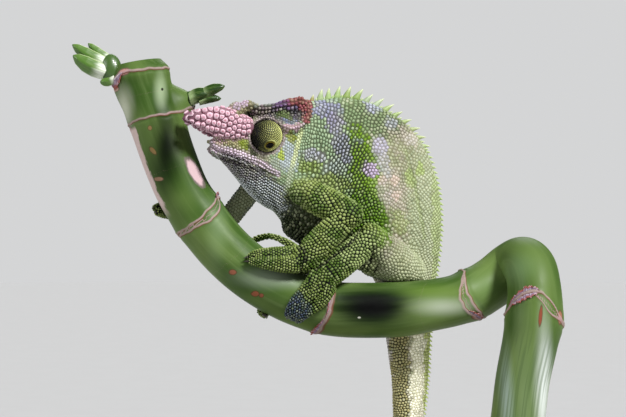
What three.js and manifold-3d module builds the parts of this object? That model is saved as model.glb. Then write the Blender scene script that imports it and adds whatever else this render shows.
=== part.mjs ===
// A male two-horned chameleon, life size, gripping a cut and curled length of lucky bamboo,
// which one steel rod holds over a flat wooden base.
//
// Millimetres. +X runs from the animal's head to its back, -Y is its left side, +Z is up.
// The origin is the middle of the base's underside. Animal and bamboo are measured from the
// upright plane that the bamboo lies in, which stands STEM_SET_BACK in front of the origin.
import * as THREE from "three";
import { mergeVertices } from "three/addons/utils/BufferGeometryUtils.js";
import Module from "manifold-3d";

const wasm = await Module();
wasm.setup();

// ---------------------------------------------------------------- driving dimensions

const GAP = 0.3; // air left between neighbouring pieces
const STEM_SET_BACK = -5; // where the bamboo's plane stands on the base

// The body bends in plan: the pelvis hangs behind the bamboo and the head swings forward.
const PELVIS_DEPTH = 16;
const BEND_START = 25;
const BEND_SLOPE = 0.215;
const BEND_GROWTH = 0.0018;

// Sections from the lips to the vent. Each row: back x, z; belly x, z; half width;
// how much wider the section is towards the belly; how square its back is (1 is round).
const BODY = [
  [-38.3, 144.9, -38.3, 143.2, 1.2, 0, 1],
  [-37.0, 146.3, -36.8, 141.2, 3.0, 0, 0.9],
  [-34.4, 148.6, -34.1, 138.4, 4.3, 0, 0.7],
  [-31.0, 152.0, -30.6, 134.4, 5.4, 0, 0.55],
  [-27.2, 155.2, -26.9, 129.6, 6.3, 0, 0.42],
  [-23.4, 156.0, -23.4, 125.8, 7.0, 0, 0.4],
  [-19.3, 157.2, -20.2, 123.8, 7.4, 0, 0.4],
  [-15.1, 158.6, -17.4, 121.7, 7.6, 0, 0.45],
  [-11.0, 159.5, -15.5, 119.3, 7.8, 0.05, 0.55],
  [-7.2, 158.8, -14.8, 117.4, 8.2, 0.15, 0.7],
  [-2.8, 159.0, -14.4, 116.0, 8.8, 0.25, 0.9],
  [2.5, 160.0, -13.6, 114.9, 9.5, 0.3, 1],
  [8.9, 159.6, -11.6, 113.3, 10.2, 0.35, 1],
  [17.5, 156.4, -7.7, 111.1, 10.8, 0.35, 1],
  [24.8, 151.8, -3.2, 109.0, 11.2, 0.35, 1],
  [30.1, 146.0, 1.4, 107.3, 11.3, 0.35, 1],
  [33.7, 138.6, 6.0, 105.9, 11.2, 0.35, 1],
  [36.0, 129.8, 10.3, 104.2, 10.7, 0.3, 1],
  [36.8, 120.9, 13.5, 101.6, 9.8, 0.25, 1],
  [36.5, 112.3, 15.5, 98.0, 8.7, 0.2, 1],
  [35.5, 103.5, 16.7, 93.7, 7.6, 0.15, 1],
  [34.4, 93.6, 17.5, 88.1, 6.8, 0.1, 1],
  [33.5, 84.0, 17.9, 83.6, 6.3, 0, 1],
];
const BODY_STEPS = 26;
const BODY_SIDES = 16;

// The head ends along this line and the mouth closes along that one (x, z).
const NECK_LINE = [
  [-3.5, 166], [-5.2, 156], [-9, 149], [-12.6, 142], [-13.8, 134], [-14, 127], [-14.6, 119],
  [-15.6, 110],
];
const MOUTH_LINE = [
  [-44, 143.8], [-38.2, 143.8], [-36, 142.0], [-33.4, 141], [-27.7, 138.9], [-24.2, 137.7],
  [-21.6, 135.7], [-18, 134.2], [-8, 133],
];

// Ridges of the head, each a bead along points given by x, z and distance from the midline,
// and then the bead's radius.
const BROW_RIDGE = [
  [-35.8, 147.0, 2.8, 0.8], [-32.0, 151.4, 4.4, 1.2], [-28.6, 156.4, 4.8, 1.7],
  [-24.0, 155.2, 5.3, 1.3], [-17.0, 156.6, 5.6, 1.4], [-9.4, 157.6, 4.0, 1.4],
];
const TEMPLE_RIDGE = [
  [-18.4, 150.4, 6.8, 0.9], [-14.6, 149.2, 7.4, 1.2], [-10.8, 151.0, 7.2, 1.2], [-8.0, 155.4, 4.8, 1.2],
];

const EYE = { x: -22.4, z: 146.7, side: 6.1, radius: 5.1, rimRadius: 5.6, rimBead: 0.8, rimSink: 0.6 };
const PUPIL = { drop: 43, radius: 1.6, sink: 1.4 }; // how far below level the eye looks, and the eyeball

// Blade horns: x, z, distance from the midline, half height, half thickness.
const HORN = [
  [-26.4, 149.8, 5.0, 4.2, 1.6],
  [-28.6, 150.2, 4.9, 5.0, 1.8],
  [-32.6, 150.6, 4.3, 4.8, 1.8],
  [-37.0, 151.4, 3.3, 4.7, 1.6],
  [-40.2, 152.1, 2.8, 3.8, 1.4],
  [-42.7, 152.3, 2.5, 2.8, 1.2],
  [-44.6, 152.1, 2.3, 1.9, 1.0],
  [-45.5, 152.0, 2.2, 0.8, 0.6],
];

// The crest of spines runs down the back, tall on the nape and short behind.
const CREST = {
  count: 27, tallest: 3.4, shortest: 1.1, tallFor: 0.3, shortFrom: 0.55, lean: 0.45, root: 1.0,
};

// Tail: x, z, half depth, half width; then a flat coil that winds forward.
const TAIL = [
  [25.7, 83.5, 7.75, 6.3], [26.1, 76, 6.9, 5.8], [26.4, 68.9, 6.2, 5.2], [26.2, 61, 5.6, 4.8],
  [25.8, 53, 5.0, 4.3], [25.4, 45, 4.5, 3.9], [25.1, 37, 4.0, 3.5],
];
const COIL = {
  x: 12.4, z: 28, radius: 12.6, pitch: 6.9, turns: 1.6, stepsPerTurn: 16,
  root: 3.5, tip: 0.5, narrow: 0.9,
};
const TAIL_STEPS = 31;
const TAIL_SIDES = 8;
const TAIL_TOP = 83.2; // heights at which the tail is parted
const TAIL_MIDDLE_TOP = 58;
const TAIL_COIL_TOP = 36;
const TAIL_FRONT = 17.8; // the hanging length lies behind this x

// Legs: joints as x, y, z and the limb's half thickness there.
const LEGS = {
  foreleg_left: {
    root: [-8.6, 0, 129.0, 5.2], bend: [6.0, -7.2, 121.9, 4.5],
    end: [-8.6, -6.3, 107.6, 4.4], bulge: [0.3, 0.5],
    toes: [
      [
        [-14.4, 66, 5.2, 4.2, 3.8], [-17.6, 57, 4.0, 4.2, 3.5], [-20.9, 48, 3.1, 3.5, 2.8],
        [-24.4, 37, 2.2, 2.4, 2.1], [-26.3, 27, 1.6, 1.6, 1.5], [-27.4, 18, 1.2, 0.9, 0.9],
      ],
      [
        [-17.0, 78, 5.4, 2.2, 2.0], [-22.2, 86, 5.6, 1.4, 1.3], [-27.4, 103, 4.3, 1.2, 1.1],
        [-30.4, 126, 2.2, 1.2, 1.1], [-31.4, 150, 1.3, 1.1, 1.0], [-31.4, 172, 1.0, 0.7, 0.7],
      ],
    ],
  },
  foreleg_right: {
    root: [-10, 11.5, 129, 5.0], bend: [-20.8, 17.4, 136.2, 4.2],
    end: [-33.6, 11.4, 119.6, 3.5], bulge: [0.3, 0.1],
    toes: [
      [
        [-37.6, 147, 3.2, 3.2, 3.0], [-40.5, 166, 2.2, 3.0, 2.4], [-43.3, 186, 1.8, 2.6, 2.0],
        [-45.2, 208, 1.7, 2.2, 1.7], [-46.4, 234, 1.6, 1.8, 1.5], [-46.8, 262, 1.5, 1.1, 1.2],
      ],
      [
        [-37.6, 150, 3.0, 3.0, 2.6], [-35.4, 166, 2.2, 2.6, 2.1], [-34.0, 186, 1.8, 2.2, 1.7],
        [-33.4, 210, 1.5, 1.8, 1.5], [-33.4, 232, 1.1, 0.9, 0.9],
      ],
    ],
  },
  hindleg_left: {
    root: [24.4, 8.5, 102.2, 7.4], bend: [12.8, -3.4, 114.0, 5.1],
    end: [-2.9, -8.2, 101.2, 4.4], bulge: [0.6, 0.3],
    toes: [
      [
        [-4.6, 48, 3.4, 4.4, 3.8], [-6.6, 30, 2.6, 4.2, 3.0], [-8.0, 14, 2.1, 4.0, 2.5],
        [-8.9, -6, 1.9, 3.5, 2.1], [-8.7, -22, 1.7, 2.7, 1.7], [-8.0, -34, 1.2, 1.5, 1.1],
      ],
      [
        [-4.2, 56, 4.4, 2.8, 2.5], [-4.4, 80, 3.2, 2.5, 2.1], [-4.8, 105, 2.2, 2.2, 1.8],
        [-5.2, 130, 1.8, 2.0, 1.6], [-5.6, 155, 1.5, 1.6, 1.3], [-5.8, 175, 1.1, 0.9, 0.9],
      ],
    ],
  },
  hindleg_right: {
    root: [25.2, 23.5, 101.0, 7.2], bend: [12.8, 27.4, 112.6, 5.0],
    end: [-8.8, 14.8, 104.2, 4.2], bulge: [0.6, 0.3],
    toes: [
      [
        [-13.4, 148, 6.4, 3.8, 3.5], [-15.2, 168, 4.2, 3.6, 3.0], [-16.8, 190, 2.5, 3.2, 2.4],
        [-17.8, 215, 1.9, 2.7, 2.0], [-18.3, 240, 1.6, 2.2, 1.6], [-18.4, 262, 1.4, 1.6, 1.2],
        [-18.2, 277, 1.0, 0.9, 0.8],
      ],
      [
        [-13.2, 142, 5.2, 3.0, 2.8], [-12.9, 127, 2.8, 2.6, 2.1], [-12.8, 112, 1.8, 1.9, 1.6],
        [-12.8, 98, 1.2, 1.0, 1.0],
      ],
    ],
  },
};
const JOINT_NEST = 0.6; // a lower limb starts this much slimmer, inside the round end of the upper one
const CLAW = { length: 1.9, radius: 0.5, spread: 0.6, root: 0.5 };

// The bamboo from its upper node to the cut below the bend: x, y, z, radius.
const STEM = [
  [-61.8, 5, 170.6, 7.6], [-61.2, 5, 167.4, 9.4], [-60, 5, 162.6, 9.3], [-58, 4.7, 157.4, 8.9],
  [-55.4, 4.5, 150.9, 9.1],
  [-53.1, 4, 143.8, 8.9], [-50.2, 3, 136.1, 8.8], [-46.9, 2.5, 128.7, 8.7], [-41.7, 2, 120.6, 8.75],
  [-34.6, 1, 111.7, 8.75],
  [-26.9, 0, 104.6, 8.8], [-18.6, 0, 98.9, 8.75], [-9.6, 0, 94.4, 8.6], [0, 0, 91.8, 8.8],
  [9.6, 0, 91.2, 8.95],
  [22.4, 0, 91.5, 8.9], [32.7, 0.5, 92.9, 8.4], [40.1, 1.5, 94.3, 8.25], [46.7, 3.5, 96.6, 8.4],
  [53.1, 6, 100.2, 8.4],
  [58.4, 6.5, 104.4, 8.4], [61.7, 2, 106.4, 8.4], [63.3, -4.5, 104.5, 8.5], [63.9, -9, 99.6, 8.5],
  [64.0, -10.5, 93.4, 8.9],
  [63.6, -11, 88.1, 9.15], [62.3, -11, 80.9, 8.8], [60.1, -11, 69.9, 8.6], [58.7, -11, 58.3, 8.6],
  [57.6, -11, 50.4, 8.6],
];
const STEM_STEPS = 32;
const STEM_SIDES = 12;

// Shoots: a round bud, and overlapping leaves that come out of it and taper to a point.
const LEAF_FORM = [[0, 0.9], [0.3, 1], [0.65, 0.8], [0.9, 0.4], [1, 0.16]]; // way along, fullness
const TOP_SHOOT = {
  bud: { centre: [-68.6, 3.4, 168.6], radius: 5.0 },
  leaves: [
    { from: [-69, 3.2, 169], to: [-81.9, 3.4, 174.0], width: 3.9, thickness: 2.5 },
    { from: [-68, 5.6, 170], to: [-78.4, 6.2, 176.6], width: 2.8, thickness: 1.8 },
    { from: [-68, 5.2, 167], to: [-79.0, 5.4, 172.6], width: 3.4, thickness: 2.0 },
  ],
};
const SIDE_SHOOT = {
  bud: { centre: [-48.6, 4.4, 156.4], radius: 3.6 },
  leaves: [
    { from: [-48, 4.4, 156.8], to: [-34.4, 4.4, 161.4], width: 2.7, thickness: 2.0 },
    { from: [-47, 5.8, 157.4], to: [-36.6, 6.4, 162.2], width: 2.3, thickness: 1.5 },
  ],
};

const BASE = { width: 140, depth: 84, height: 8, corner: 12, bevel: 1.2 };
const ROD = { x: 57.4, y: -11, radius: 3, into: 12, under: 4 }; // into the bamboo and into the base

// ---------------------------------------------------------------- solids, joins and cuts

// A closed three.js geometry as a solid, turned right side out.
function solidOf(geometry) {
  const plain = new THREE.BufferGeometry();
  plain.setAttribute("position", geometry.getAttribute("position").clone());
  plain.setIndex(geometry.getIndex());
  const welded = mergeVertices(plain, 1e-4);
  const corners = welded.getAttribute("position").array;
  const triangles = Uint32Array.from(welded.getIndex().array);
  if (signedVolume(corners, triangles) < 0) {
    for (let i = 0; i < triangles.length; i += 3) {
      [triangles[i + 1], triangles[i + 2]] = [triangles[i + 2], triangles[i + 1]];
    }
  }
  return new wasm.Manifold(new wasm.Mesh({ numProp: 3, vertProperties: corners, triVerts: triangles }));
}

function signedVolume(corners, triangles) {
  const corner = (k) => new THREE.Vector3().fromArray(corners, 3 * triangles[k]);
  let sixfold = 0;
  for (let i = 0; i < triangles.length; i += 3) {
    sixfold += corner(i).dot(corner(i + 1).cross(corner(i + 2)));
  }
  return sixfold / 6;
}

const joined = (solids) => solids.reduce((whole, next) => whole.add(next));

// What is left of a solid when tools are cut away, without the crumbs beside its main body.
function cutBy(solid, tools) {
  const rest = tools.reduce((left, tool) => left.subtract(tool), solid);
  return rest.decompose().reduce((main, body) => (body.volume() > main.volume() ? body : main));
}

// Values part of the way through a list of rows, on a smooth curve through them all.
function along(rows, t) {
  const place = t * (rows.length - 1);
  const i = Math.min(Math.floor(place), rows.length - 2);
  const f = place - i;
  const row = (k) => rows[Math.min(Math.max(k, 0), rows.length - 1)];
  return rows[i].map((_, c) => {
    const [a, b, d, e] = [row(i - 1)[c], row(i)[c], row(i + 1)[c], row(i + 2)[c]];
    return b + 0.5 * f * (d - a + f * (2 * a - 5 * b + 4 * d - e + f * (3 * (b - d) + e - a)));
  });
}

// A closed tube: at(t, turn, reach) gives its points, with reach 0 on the axis and 1 outside.
function loft(steps, sides, at) {
  const tube = new THREE.CylinderGeometry(1, 1, 1, sides, steps);
  const spots = tube.getAttribute("position");
  const spot = new THREE.Vector3();
  for (let i = 0; i < spots.count; i++) {
    spot.fromBufferAttribute(spots, i);
    const reach = Math.hypot(spot.x, spot.z) > 0.5 ? 1 : 0;
    const aside = Math.abs(spot.x) < 1e-6 ? 0 : spot.x; // both edges of the seam get one turn
    const place = at(0.5 - spot.y, Math.atan2(aside, spot.z), reach);
    spots.setXYZ(i, place.x, place.y, place.z);
  }
  return solidOf(tube);
}

// A tube through rows of centre point, half width and half depth. facing(centre) gives the
// direction that its depth is measured in.
function tube(rows, steps, sides, facing, grow = 0) {
  const centreAt = (t) => new THREE.Vector3().fromArray(along(rows, t));
  return loft(steps, sides, (t, turn, reach) => {
    const values = along(rows, t);
    const centre = centreAt(t);
    const ahead = centreAt(Math.min(t + 0.01, 1)).sub(centreAt(Math.max(t - 0.01, 0))).normalize();
    const out = facing(centre).projectOnPlane(ahead).normalize();
    const across = new THREE.Vector3().crossVectors(ahead, out);
    const halfWidth = (values[3] + grow) * reach;
    const halfDepth = ((values[4] ?? values[3]) + grow) * reach;
    centre.addScaledVector(out, Math.cos(turn) * halfDepth);
    return centre.addScaledVector(across, Math.sin(turn) * halfWidth);
  });
}

// An upright slab that stands on an outline of x, z points, right through the animal.
function prism(outline) {
  const shape = new THREE.Shape(outline.map(([x, z]) => new THREE.Vector2(x, z)));
  const slab = new THREE.ExtrudeGeometry(shape, { depth: 120, bevelEnabled: false });
  slab.rotateX(Math.PI / 2).translate(0, 60, 0);
  return solidOf(slab);
}

const moved = (line, dx, dz) => line.map(([x, z]) => [x + dx, z + dz]);

const toward = (x, y, z) => () => new THREE.Vector3(x, y, z);

// ---------------------------------------------------------------- bamboo

const STEM_FACING = toward(0.5, 1, 0);

function bamboo(grow = 0) {
  return tube(STEM, STEM_STEPS, STEM_SIDES, STEM_FACING, grow);
}

// A point beside the bamboo: over x of its axis, turn degrees round it from the side that
// faces -Y by way of the top, and lift above its bark.
function besideStem(x, turn, lift) {
  let [low, high] = [0, 0.62];
  for (let i = 0; i < 30; i++) {
    const middle = (low + high) / 2;
    [low, high] = along(STEM, middle)[0] < x ? [middle, high] : [low, middle];
  }
  const [cx, cy, cz, radius] = along(STEM, low);
  const before = new THREE.Vector3().fromArray(along(STEM, low - 0.002));
  const ahead = new THREE.Vector3().fromArray(along(STEM, low + 0.002)).sub(before).normalize();
  const near = new THREE.Vector3(0, -1, 0).projectOnPlane(ahead).normalize();
  const up = new THREE.Vector3().crossVectors(ahead, near).negate();
  const angle = THREE.MathUtils.degToRad(turn);
  const out = near.multiplyScalar(Math.cos(angle)).addScaledVector(up, Math.sin(angle));
  return { point: new THREE.Vector3(cx, cy, cz).addScaledVector(out, radius + lift), out };
}

// A bud with flattened, pointed leaves that come out of it.
function shoot({ bud, leaves }) {
  const [x, y, z] = bud.centre;
  const pieces = [solidOf(new THREE.SphereGeometry(bud.radius, 8, 5).translate(x, y, z))];
  for (const { from, to, width, thickness } of leaves) {
    const start = new THREE.Vector3().fromArray(from);
    const end = new THREE.Vector3().fromArray(to);
    const rows = LEAF_FORM.map(([t, fullness]) =>
      [...start.clone().lerp(end, t).toArray(), width * fullness, thickness * fullness]);
    pieces.push(tube(rows, 3, 5, STEM_FACING));
  }
  return joined(pieces);
}

// ---------------------------------------------------------------- body

const depthAt = (x) => {
  const ahead = Math.max(BEND_START - x, 0);
  return PELVIS_DEPTH - BEND_SLOPE * ahead - BEND_GROWTH * ahead * ahead;
};

// Direction from the body's middle plane to the animal's right side.
function rightAt(x) {
  const ahead = Math.max(BEND_START - x, 0);
  const slope = ahead > 0 ? BEND_SLOPE + 2 * BEND_GROWTH * ahead : 0;
  return new THREE.Vector3(-slope, 1, 0).normalize();
}

// A point at x, z of the middle plane and the given distance to the animal's right.
const bodyPoint = (x, z, right) => new THREE.Vector3(x, depthAt(x), z).addScaledVector(rightAt(x), right);

function bodyLoft(grow = 0) {
  return loft(BODY_STEPS, BODY_SIDES, (t, turn, reach) => {
    const [backX, backZ, bellyX, bellyZ, halfWidth, bellied, square] = along(BODY, t);
    const height = Math.hypot(backX - bellyX, backZ - bellyZ);
    const up = (Math.cos(turn) * reach * (1 + (2 * grow) / height)) / 2;
    const x = (backX + bellyX) / 2 + (backX - bellyX) * up;
    const z = (backZ + bellyZ) / 2 + (backZ - bellyZ) * up;
    const sweep = Math.abs(Math.sin(turn)) ** (Math.cos(turn) > 0 ? square : 1);
    const outward = Math.sign(Math.sin(turn)) * sweep * (1 - bellied * Math.cos(turn));
    const right = outward * (halfWidth + grow) * reach;
    return bodyPoint(x, z, right);
  });
}

// A rounded bead along a ridge of the head, on the side given by -1 (left) or 1 (right).
function ridge(rows, side) {
  const places = rows.map(([x, z, out, radius]) => [...bodyPoint(x, z, side * out).toArray(), radius]);
  const ends = [places[0], places.at(-1)].map((row) => [...row.slice(0, 3), 0.3]);
  return tube([ends[0], ...places, ends[1]], rows.length + 1, 4, toward(0, 0.3, 1));
}

function eyeRim(side) {
  const rim = new THREE.TorusGeometry(EYE.rimRadius, EYE.rimBead, 4, 11);
  const outward = rightAt(EYE.x).multiplyScalar(side);
  rim.applyQuaternion(new THREE.Quaternion().setFromUnitVectors(new THREE.Vector3(0, 0, 1), outward));
  const seat = bodyPoint(EYE.x, EYE.z, side * (EYE.side - EYE.rimSink));
  return solidOf(rim.translate(seat.x, seat.y, seat.z));
}

const eyeCentre = (side) => bodyPoint(EYE.x, EYE.z, side * EYE.side);

function ball(centre, radius, across, down) {
  return solidOf(new THREE.SphereGeometry(radius, across, down).translate(centre.x, centre.y, centre.z));
}

// The eye looks out to its side and down.
function gaze(side) {
  const drop = THREE.MathUtils.degToRad(PUPIL.drop);
  return rightAt(EYE.x).multiplyScalar(side * Math.cos(drop)).add(new THREE.Vector3(0, 0, -Math.sin(drop)));
}

const eyeball = (side, grow) =>
  ball(eyeCentre(side).addScaledVector(gaze(side), EYE.radius - PUPIL.sink), PUPIL.radius + grow, 8, 5);

function horn(side, grow) {
  const rows = HORN.map(([x, z, out, halfHeight, halfThickness]) => [
    ...bodyPoint(x, z, side * out).toArray(), halfHeight, halfThickness,
  ]);
  return tube(rows, 7, 8, toward(-0.35, 1, 0), grow);
}

// Spines stand on the back's ridge, leaning towards the tail.
function crest() {
  const ridgeRows = BODY.slice(10);
  const line = new THREE.CatmullRomCurve3(ridgeRows.map(([x, z]) => new THREE.Vector3(x, depthAt(x), z)));
  return Array.from({ length: CREST.count }, (_, i) => {
    const u = (i + 0.5) / CREST.count;
    const fade = THREE.MathUtils.smoothstep(u, CREST.tallFor, CREST.shortFrom);
    const height = THREE.MathUtils.lerp(CREST.tallest, CREST.shortest, fade);
    const radius = 0.35 + 0.24 * height;
    const tangent = line.getTangentAt(u);
    const outward = new THREE.Vector3(-tangent.z, 0, tangent.x).normalize();
    const tilt = outward.clone().addScaledVector(tangent, CREST.lean).normalize();
    const length = height + CREST.root;
    const cone = new THREE.ConeGeometry(radius, length, 4).translate(0, length / 2, 0);
    cone.applyQuaternion(new THREE.Quaternion().setFromUnitVectors(new THREE.Vector3(0, 1, 0), tilt));
    const root = line.getPointAt(u).addScaledVector(outward, -CREST.root);
    return solidOf(cone.translate(root.x, root.y, root.z));
  });
}

// The hanging tail's rows, then the coil's, worked out turn by turn.
function tailRows() {
  const rows = TAIL.map(([x, z, halfDepth, halfWidth]) => [x, depthAt(x), z, halfDepth, halfWidth]);
  const steps = Math.round(COIL.turns * COIL.stepsPerTurn);
  for (let i = 0; i <= steps; i++) {
    const wound = (i / steps) * COIL.turns;
    const reach = COIL.radius - COIL.pitch * wound;
    const angle = -2 * Math.PI * wound;
    const half = THREE.MathUtils.lerp(COIL.root, COIL.tip, (i / steps) ** 0.9);
    const x = COIL.x + reach * Math.cos(angle);
    rows.push([x, PELVIS_DEPTH, COIL.z + reach * Math.sin(angle), half, half * COIL.narrow]);
  }
  return rows;
}

// ---------------------------------------------------------------- legs

// A limb between two joints, round at both ends and fuller in the middle.
function limb(from, to, bulge, grow = 0) {
  const [start, end] = [from, to].map((joint) => new THREE.Vector3().fromArray(joint));
  const length = start.distanceTo(end);
  const ahead = end.clone().sub(start).normalize();
  const out = new THREE.Vector3(0, -1, 0).projectOnPlane(ahead).normalize();
  const across = new THREE.Vector3().crossVectors(ahead, out);
  const [startRadius, endRadius] = [from[3] + grow, to[3] + grow];
  const capSteps = 2;
  const bodySteps = 3;
  const steps = 2 * capSteps + bodySteps;
  return loft(steps, 9, (t, turn, reach) => {
    const step = Math.round(t * steps);
    const fromStart = (Math.min(step / capSteps, 1) * Math.PI) / 2;
    const fromEnd = (Math.min((steps - step) / capSteps, 1) * Math.PI) / 2;
    const middle = THREE.MathUtils.clamp((step - capSteps) / bodySteps, 0, 1);
    const place = length * middle - startRadius * Math.cos(fromStart) + endRadius * Math.cos(fromEnd);
    const full = THREE.MathUtils.lerp(startRadius, endRadius, middle) + bulge * Math.sin(Math.PI * middle);
    const radius = Math.max(full * Math.sin(fromStart) * Math.sin(fromEnd), 0.25) * reach;
    return start.clone().addScaledVector(ahead, place)
      .addScaledVector(out, Math.cos(turn) * radius).addScaledVector(across, Math.sin(turn) * radius);
  });
}

// A bundle of toes that closes round the bamboo, with a pair of claws.
function toes(bundle, grow = 0) {
  const places = bundle.map(([x, turn, lift]) => besideStem(x, turn, lift));
  const rows = bundle.map((row, i) => [...places[i].point.toArray(), ...row.slice(3)]);
  const nearest = (centre) =>
    places.toSorted((a, b) => a.point.distanceTo(centre) - b.point.distanceTo(centre))[0];
  const pieces = [tube(rows, rows.length - 1, 6, (centre) => nearest(centre).out.clone(), grow)];
  const [before, tip] = places.slice(-2);
  const ahead = tip.point.clone().sub(before.point).normalize();
  const across = new THREE.Vector3().crossVectors(ahead, tip.out).normalize();
  for (const side of [-1, 1]) {
    const claw = new THREE.ConeGeometry(CLAW.radius + grow, CLAW.length, 3);
    claw.translate(0, CLAW.length / 2 - CLAW.root, 0);
    claw.applyQuaternion(new THREE.Quaternion().setFromUnitVectors(new THREE.Vector3(0, 1, 0), ahead));
    const seat = tip.point.clone().addScaledVector(across, side * CLAW.spread);
    pieces.push(solidOf(claw.translate(seat.x, seat.y, seat.z)));
  }
  return joined(pieces);
}

// ---------------------------------------------------------------- building the pieces

const solids = {};
const stemClear = bamboo(GAP);

// Head, jaw and trunk are one form, parted along the neck and the mouth.
const far = 200;
const sides = [-1, 1];
const headForm = joined([
  bodyLoft(),
  ...sides.flatMap((side) => [ridge(BROW_RIDGE, side), ridge(TEMPLE_RIDGE, side), eyeRim(side)]),
]);
const fore = prism([...moved(NECK_LINE, -GAP / 2, 0), [-far, 110], [-far, 166]]);
const aft = prism([...moved(NECK_LINE, GAP / 2, 0), [-15.6, 60], [far, 60], [far, far]]);
const upper = prism([...moved(MOUTH_LINE, 0, GAP / 2), [0, far], [-60, far]]);
const lower = prism([...moved(MOUTH_LINE, 0, -GAP / 2), [0, 90], [-60, 90]]);
const eyeSockets = sides.map((side) => ball(eyeCentre(side), EYE.radius + GAP, 12, 8));
const headFront = headForm.intersect(fore);

solids.head = cutBy(headFront.intersect(upper), [...eyeSockets, ...sides.map((side) => horn(side, GAP))]);
solids.lower_jaw = headFront.intersect(lower);
solids.trunk = joined([bodyLoft().intersect(aft), ...crest()]).subtract(stemClear);
const bodyClear = bodyLoft(GAP);

sides.forEach((side) => {
  const name = side < 0 ? "left" : "right";
  solids[`horn_${name}`] = cutBy(horn(side, 0), eyeSockets);
  solids[`eye_turret_${name}`] = ball(eyeCentre(side), EYE.radius, 12, 8).subtract(eyeball(side, GAP));
  solids[`eyeball_${name}`] = eyeball(side, 0);
});

const wholeTail = tube(tailRows(), TAIL_STEPS, TAIL_SIDES, toward(0, 1, 0));
const behindCoil = (low, high) => prism([[TAIL_FRONT, low], [far, low], [far, high], [TAIL_FRONT, high]]);
solids.tail_base = wholeTail.intersect(behindCoil(TAIL_MIDDLE_TOP + GAP / 2, TAIL_TOP));
solids.tail_middle = wholeTail.intersect(behindCoil(TAIL_COIL_TOP + GAP / 2, TAIL_MIDDLE_TOP - GAP / 2));
solids.tail_coil = wholeTail.subtract(behindCoil(TAIL_COIL_TOP - GAP / 2, far));

for (const [name, leg] of Object.entries(LEGS)) {
  const [x, y, z, bendRadius] = leg.bend;
  const [upperBulge, lowerBulge] = leg.bulge;
  const upperLimb = (grow) => limb(leg.root, leg.bend, upperBulge, grow);
  const lowerLimb = (grow) => limb([x, y, z, bendRadius - JOINT_NEST], leg.end, lowerBulge, grow);
  solids[`${name}_upper`] = cutBy(upperLimb(0), [bodyClear, stemClear]);
  solids[`${name}_lower`] = cutBy(lowerLimb(0), [bodyClear, upperLimb(GAP), stemClear]);
  const [outer, inner] = leg.toes;
  const legClear = [bodyClear, upperLimb(GAP), lowerLimb(GAP), stemClear];
  solids[`${name}_toes_outer`] = cutBy(toes(outer), legClear);
  solids[`${name}_toes_inner`] = cutBy(toes(inner), [...legClear, toes(outer, GAP)]);
}

const rod = (grow) => {
  const length = STEM.at(-1)[2] - BASE.height + ROD.into + ROD.under + 2 * grow;
  const post = new THREE.CylinderGeometry(ROD.radius + grow, ROD.radius + grow, length, 12);
  post.rotateX(Math.PI / 2);
  return solidOf(post.translate(ROD.x, ROD.y, BASE.height - ROD.under - grow + length / 2));
};
solids.stem = bamboo().subtract(rod(GAP));
solids.shoot_top = shoot(TOP_SHOOT).subtract(stemClear);
solids.shoot_side = shoot(SIDE_SHOOT).subtract(stemClear);
solids.stand_rod = rod(0);

// The base is a board with round corners and a small bevel along both edges.
function board() {
  const { width, depth, height, corner, bevel } = BASE;
  const [x, y, r] = [width / 2 - bevel, depth / 2 - bevel, corner - bevel];
  const outline = new THREE.Shape();
  outline.moveTo(-x + r, -y).lineTo(x - r, -y).absarc(x - r, -y + r, r, -Math.PI / 2, 0);
  outline.lineTo(x, y - r).absarc(x - r, y - r, r, 0, Math.PI / 2);
  outline.lineTo(-x + r, y).absarc(-x + r, y - r, r, Math.PI / 2, Math.PI);
  outline.lineTo(-x, -y + r).absarc(-x + r, -y + r, r, Math.PI, 1.5 * Math.PI);
  const options = {
    depth: height - 2 * bevel, bevelSize: bevel, bevelThickness: bevel, bevelSegments: 1, curveSegments: 3,
  };
  return solidOf(new THREE.ExtrudeGeometry(outline, options).translate(0, -STEM_SET_BACK, bevel));
}
solids.stand_base = board().subtract(rod(GAP));

// ---------------------------------------------------------------- the model

const SKIN = { color: 0x8a9a72, roughness: 0.75 };
const FINISHES = {
  horn: { color: 0xcda9bb, roughness: 0.6 },
  eye_turret: { color: 0x8b9150, roughness: 0.6 },
  eyeball: { color: 0x120d08, roughness: 0.1 },
  stem: { color: 0x56742f, roughness: 0.35 },
  shoot: { color: 0x6f9146, roughness: 0.45 },
  stand_base: { color: 0x3a2517, roughness: 0.45 },
  stand_rod: { color: 0xb9bbbd, roughness: 0.3, metalness: 1 },
};

function finishOf(name) {
  const key = Object.keys(FINISHES).find((start) => name.startsWith(start));
  return new THREE.MeshStandardMaterial(FINISHES[key] ?? SKIN);
}

function meshOf(name, solid) {
  const { vertProperties, triVerts } = solid.getMesh();
  const geometry = new THREE.BufferGeometry();
  geometry.setAttribute("position", new THREE.BufferAttribute(vertProperties, 3));
  geometry.setIndex(new THREE.BufferAttribute(triVerts, 1));
  const mesh = new THREE.Mesh(geometry, finishOf(name));
  mesh.name = name;
  return mesh;
}

const model = new THREE.Group();
model.position.set(0, STEM_SET_BACK, 0);
for (const [name, solid] of Object.entries(solids)) {
  model.add(meshOf(name, solid));
}

export default model;
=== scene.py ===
import bpy
import numpy as np
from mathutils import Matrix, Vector, kdtree
from mathutils.bvhtree import BVHTree


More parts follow.
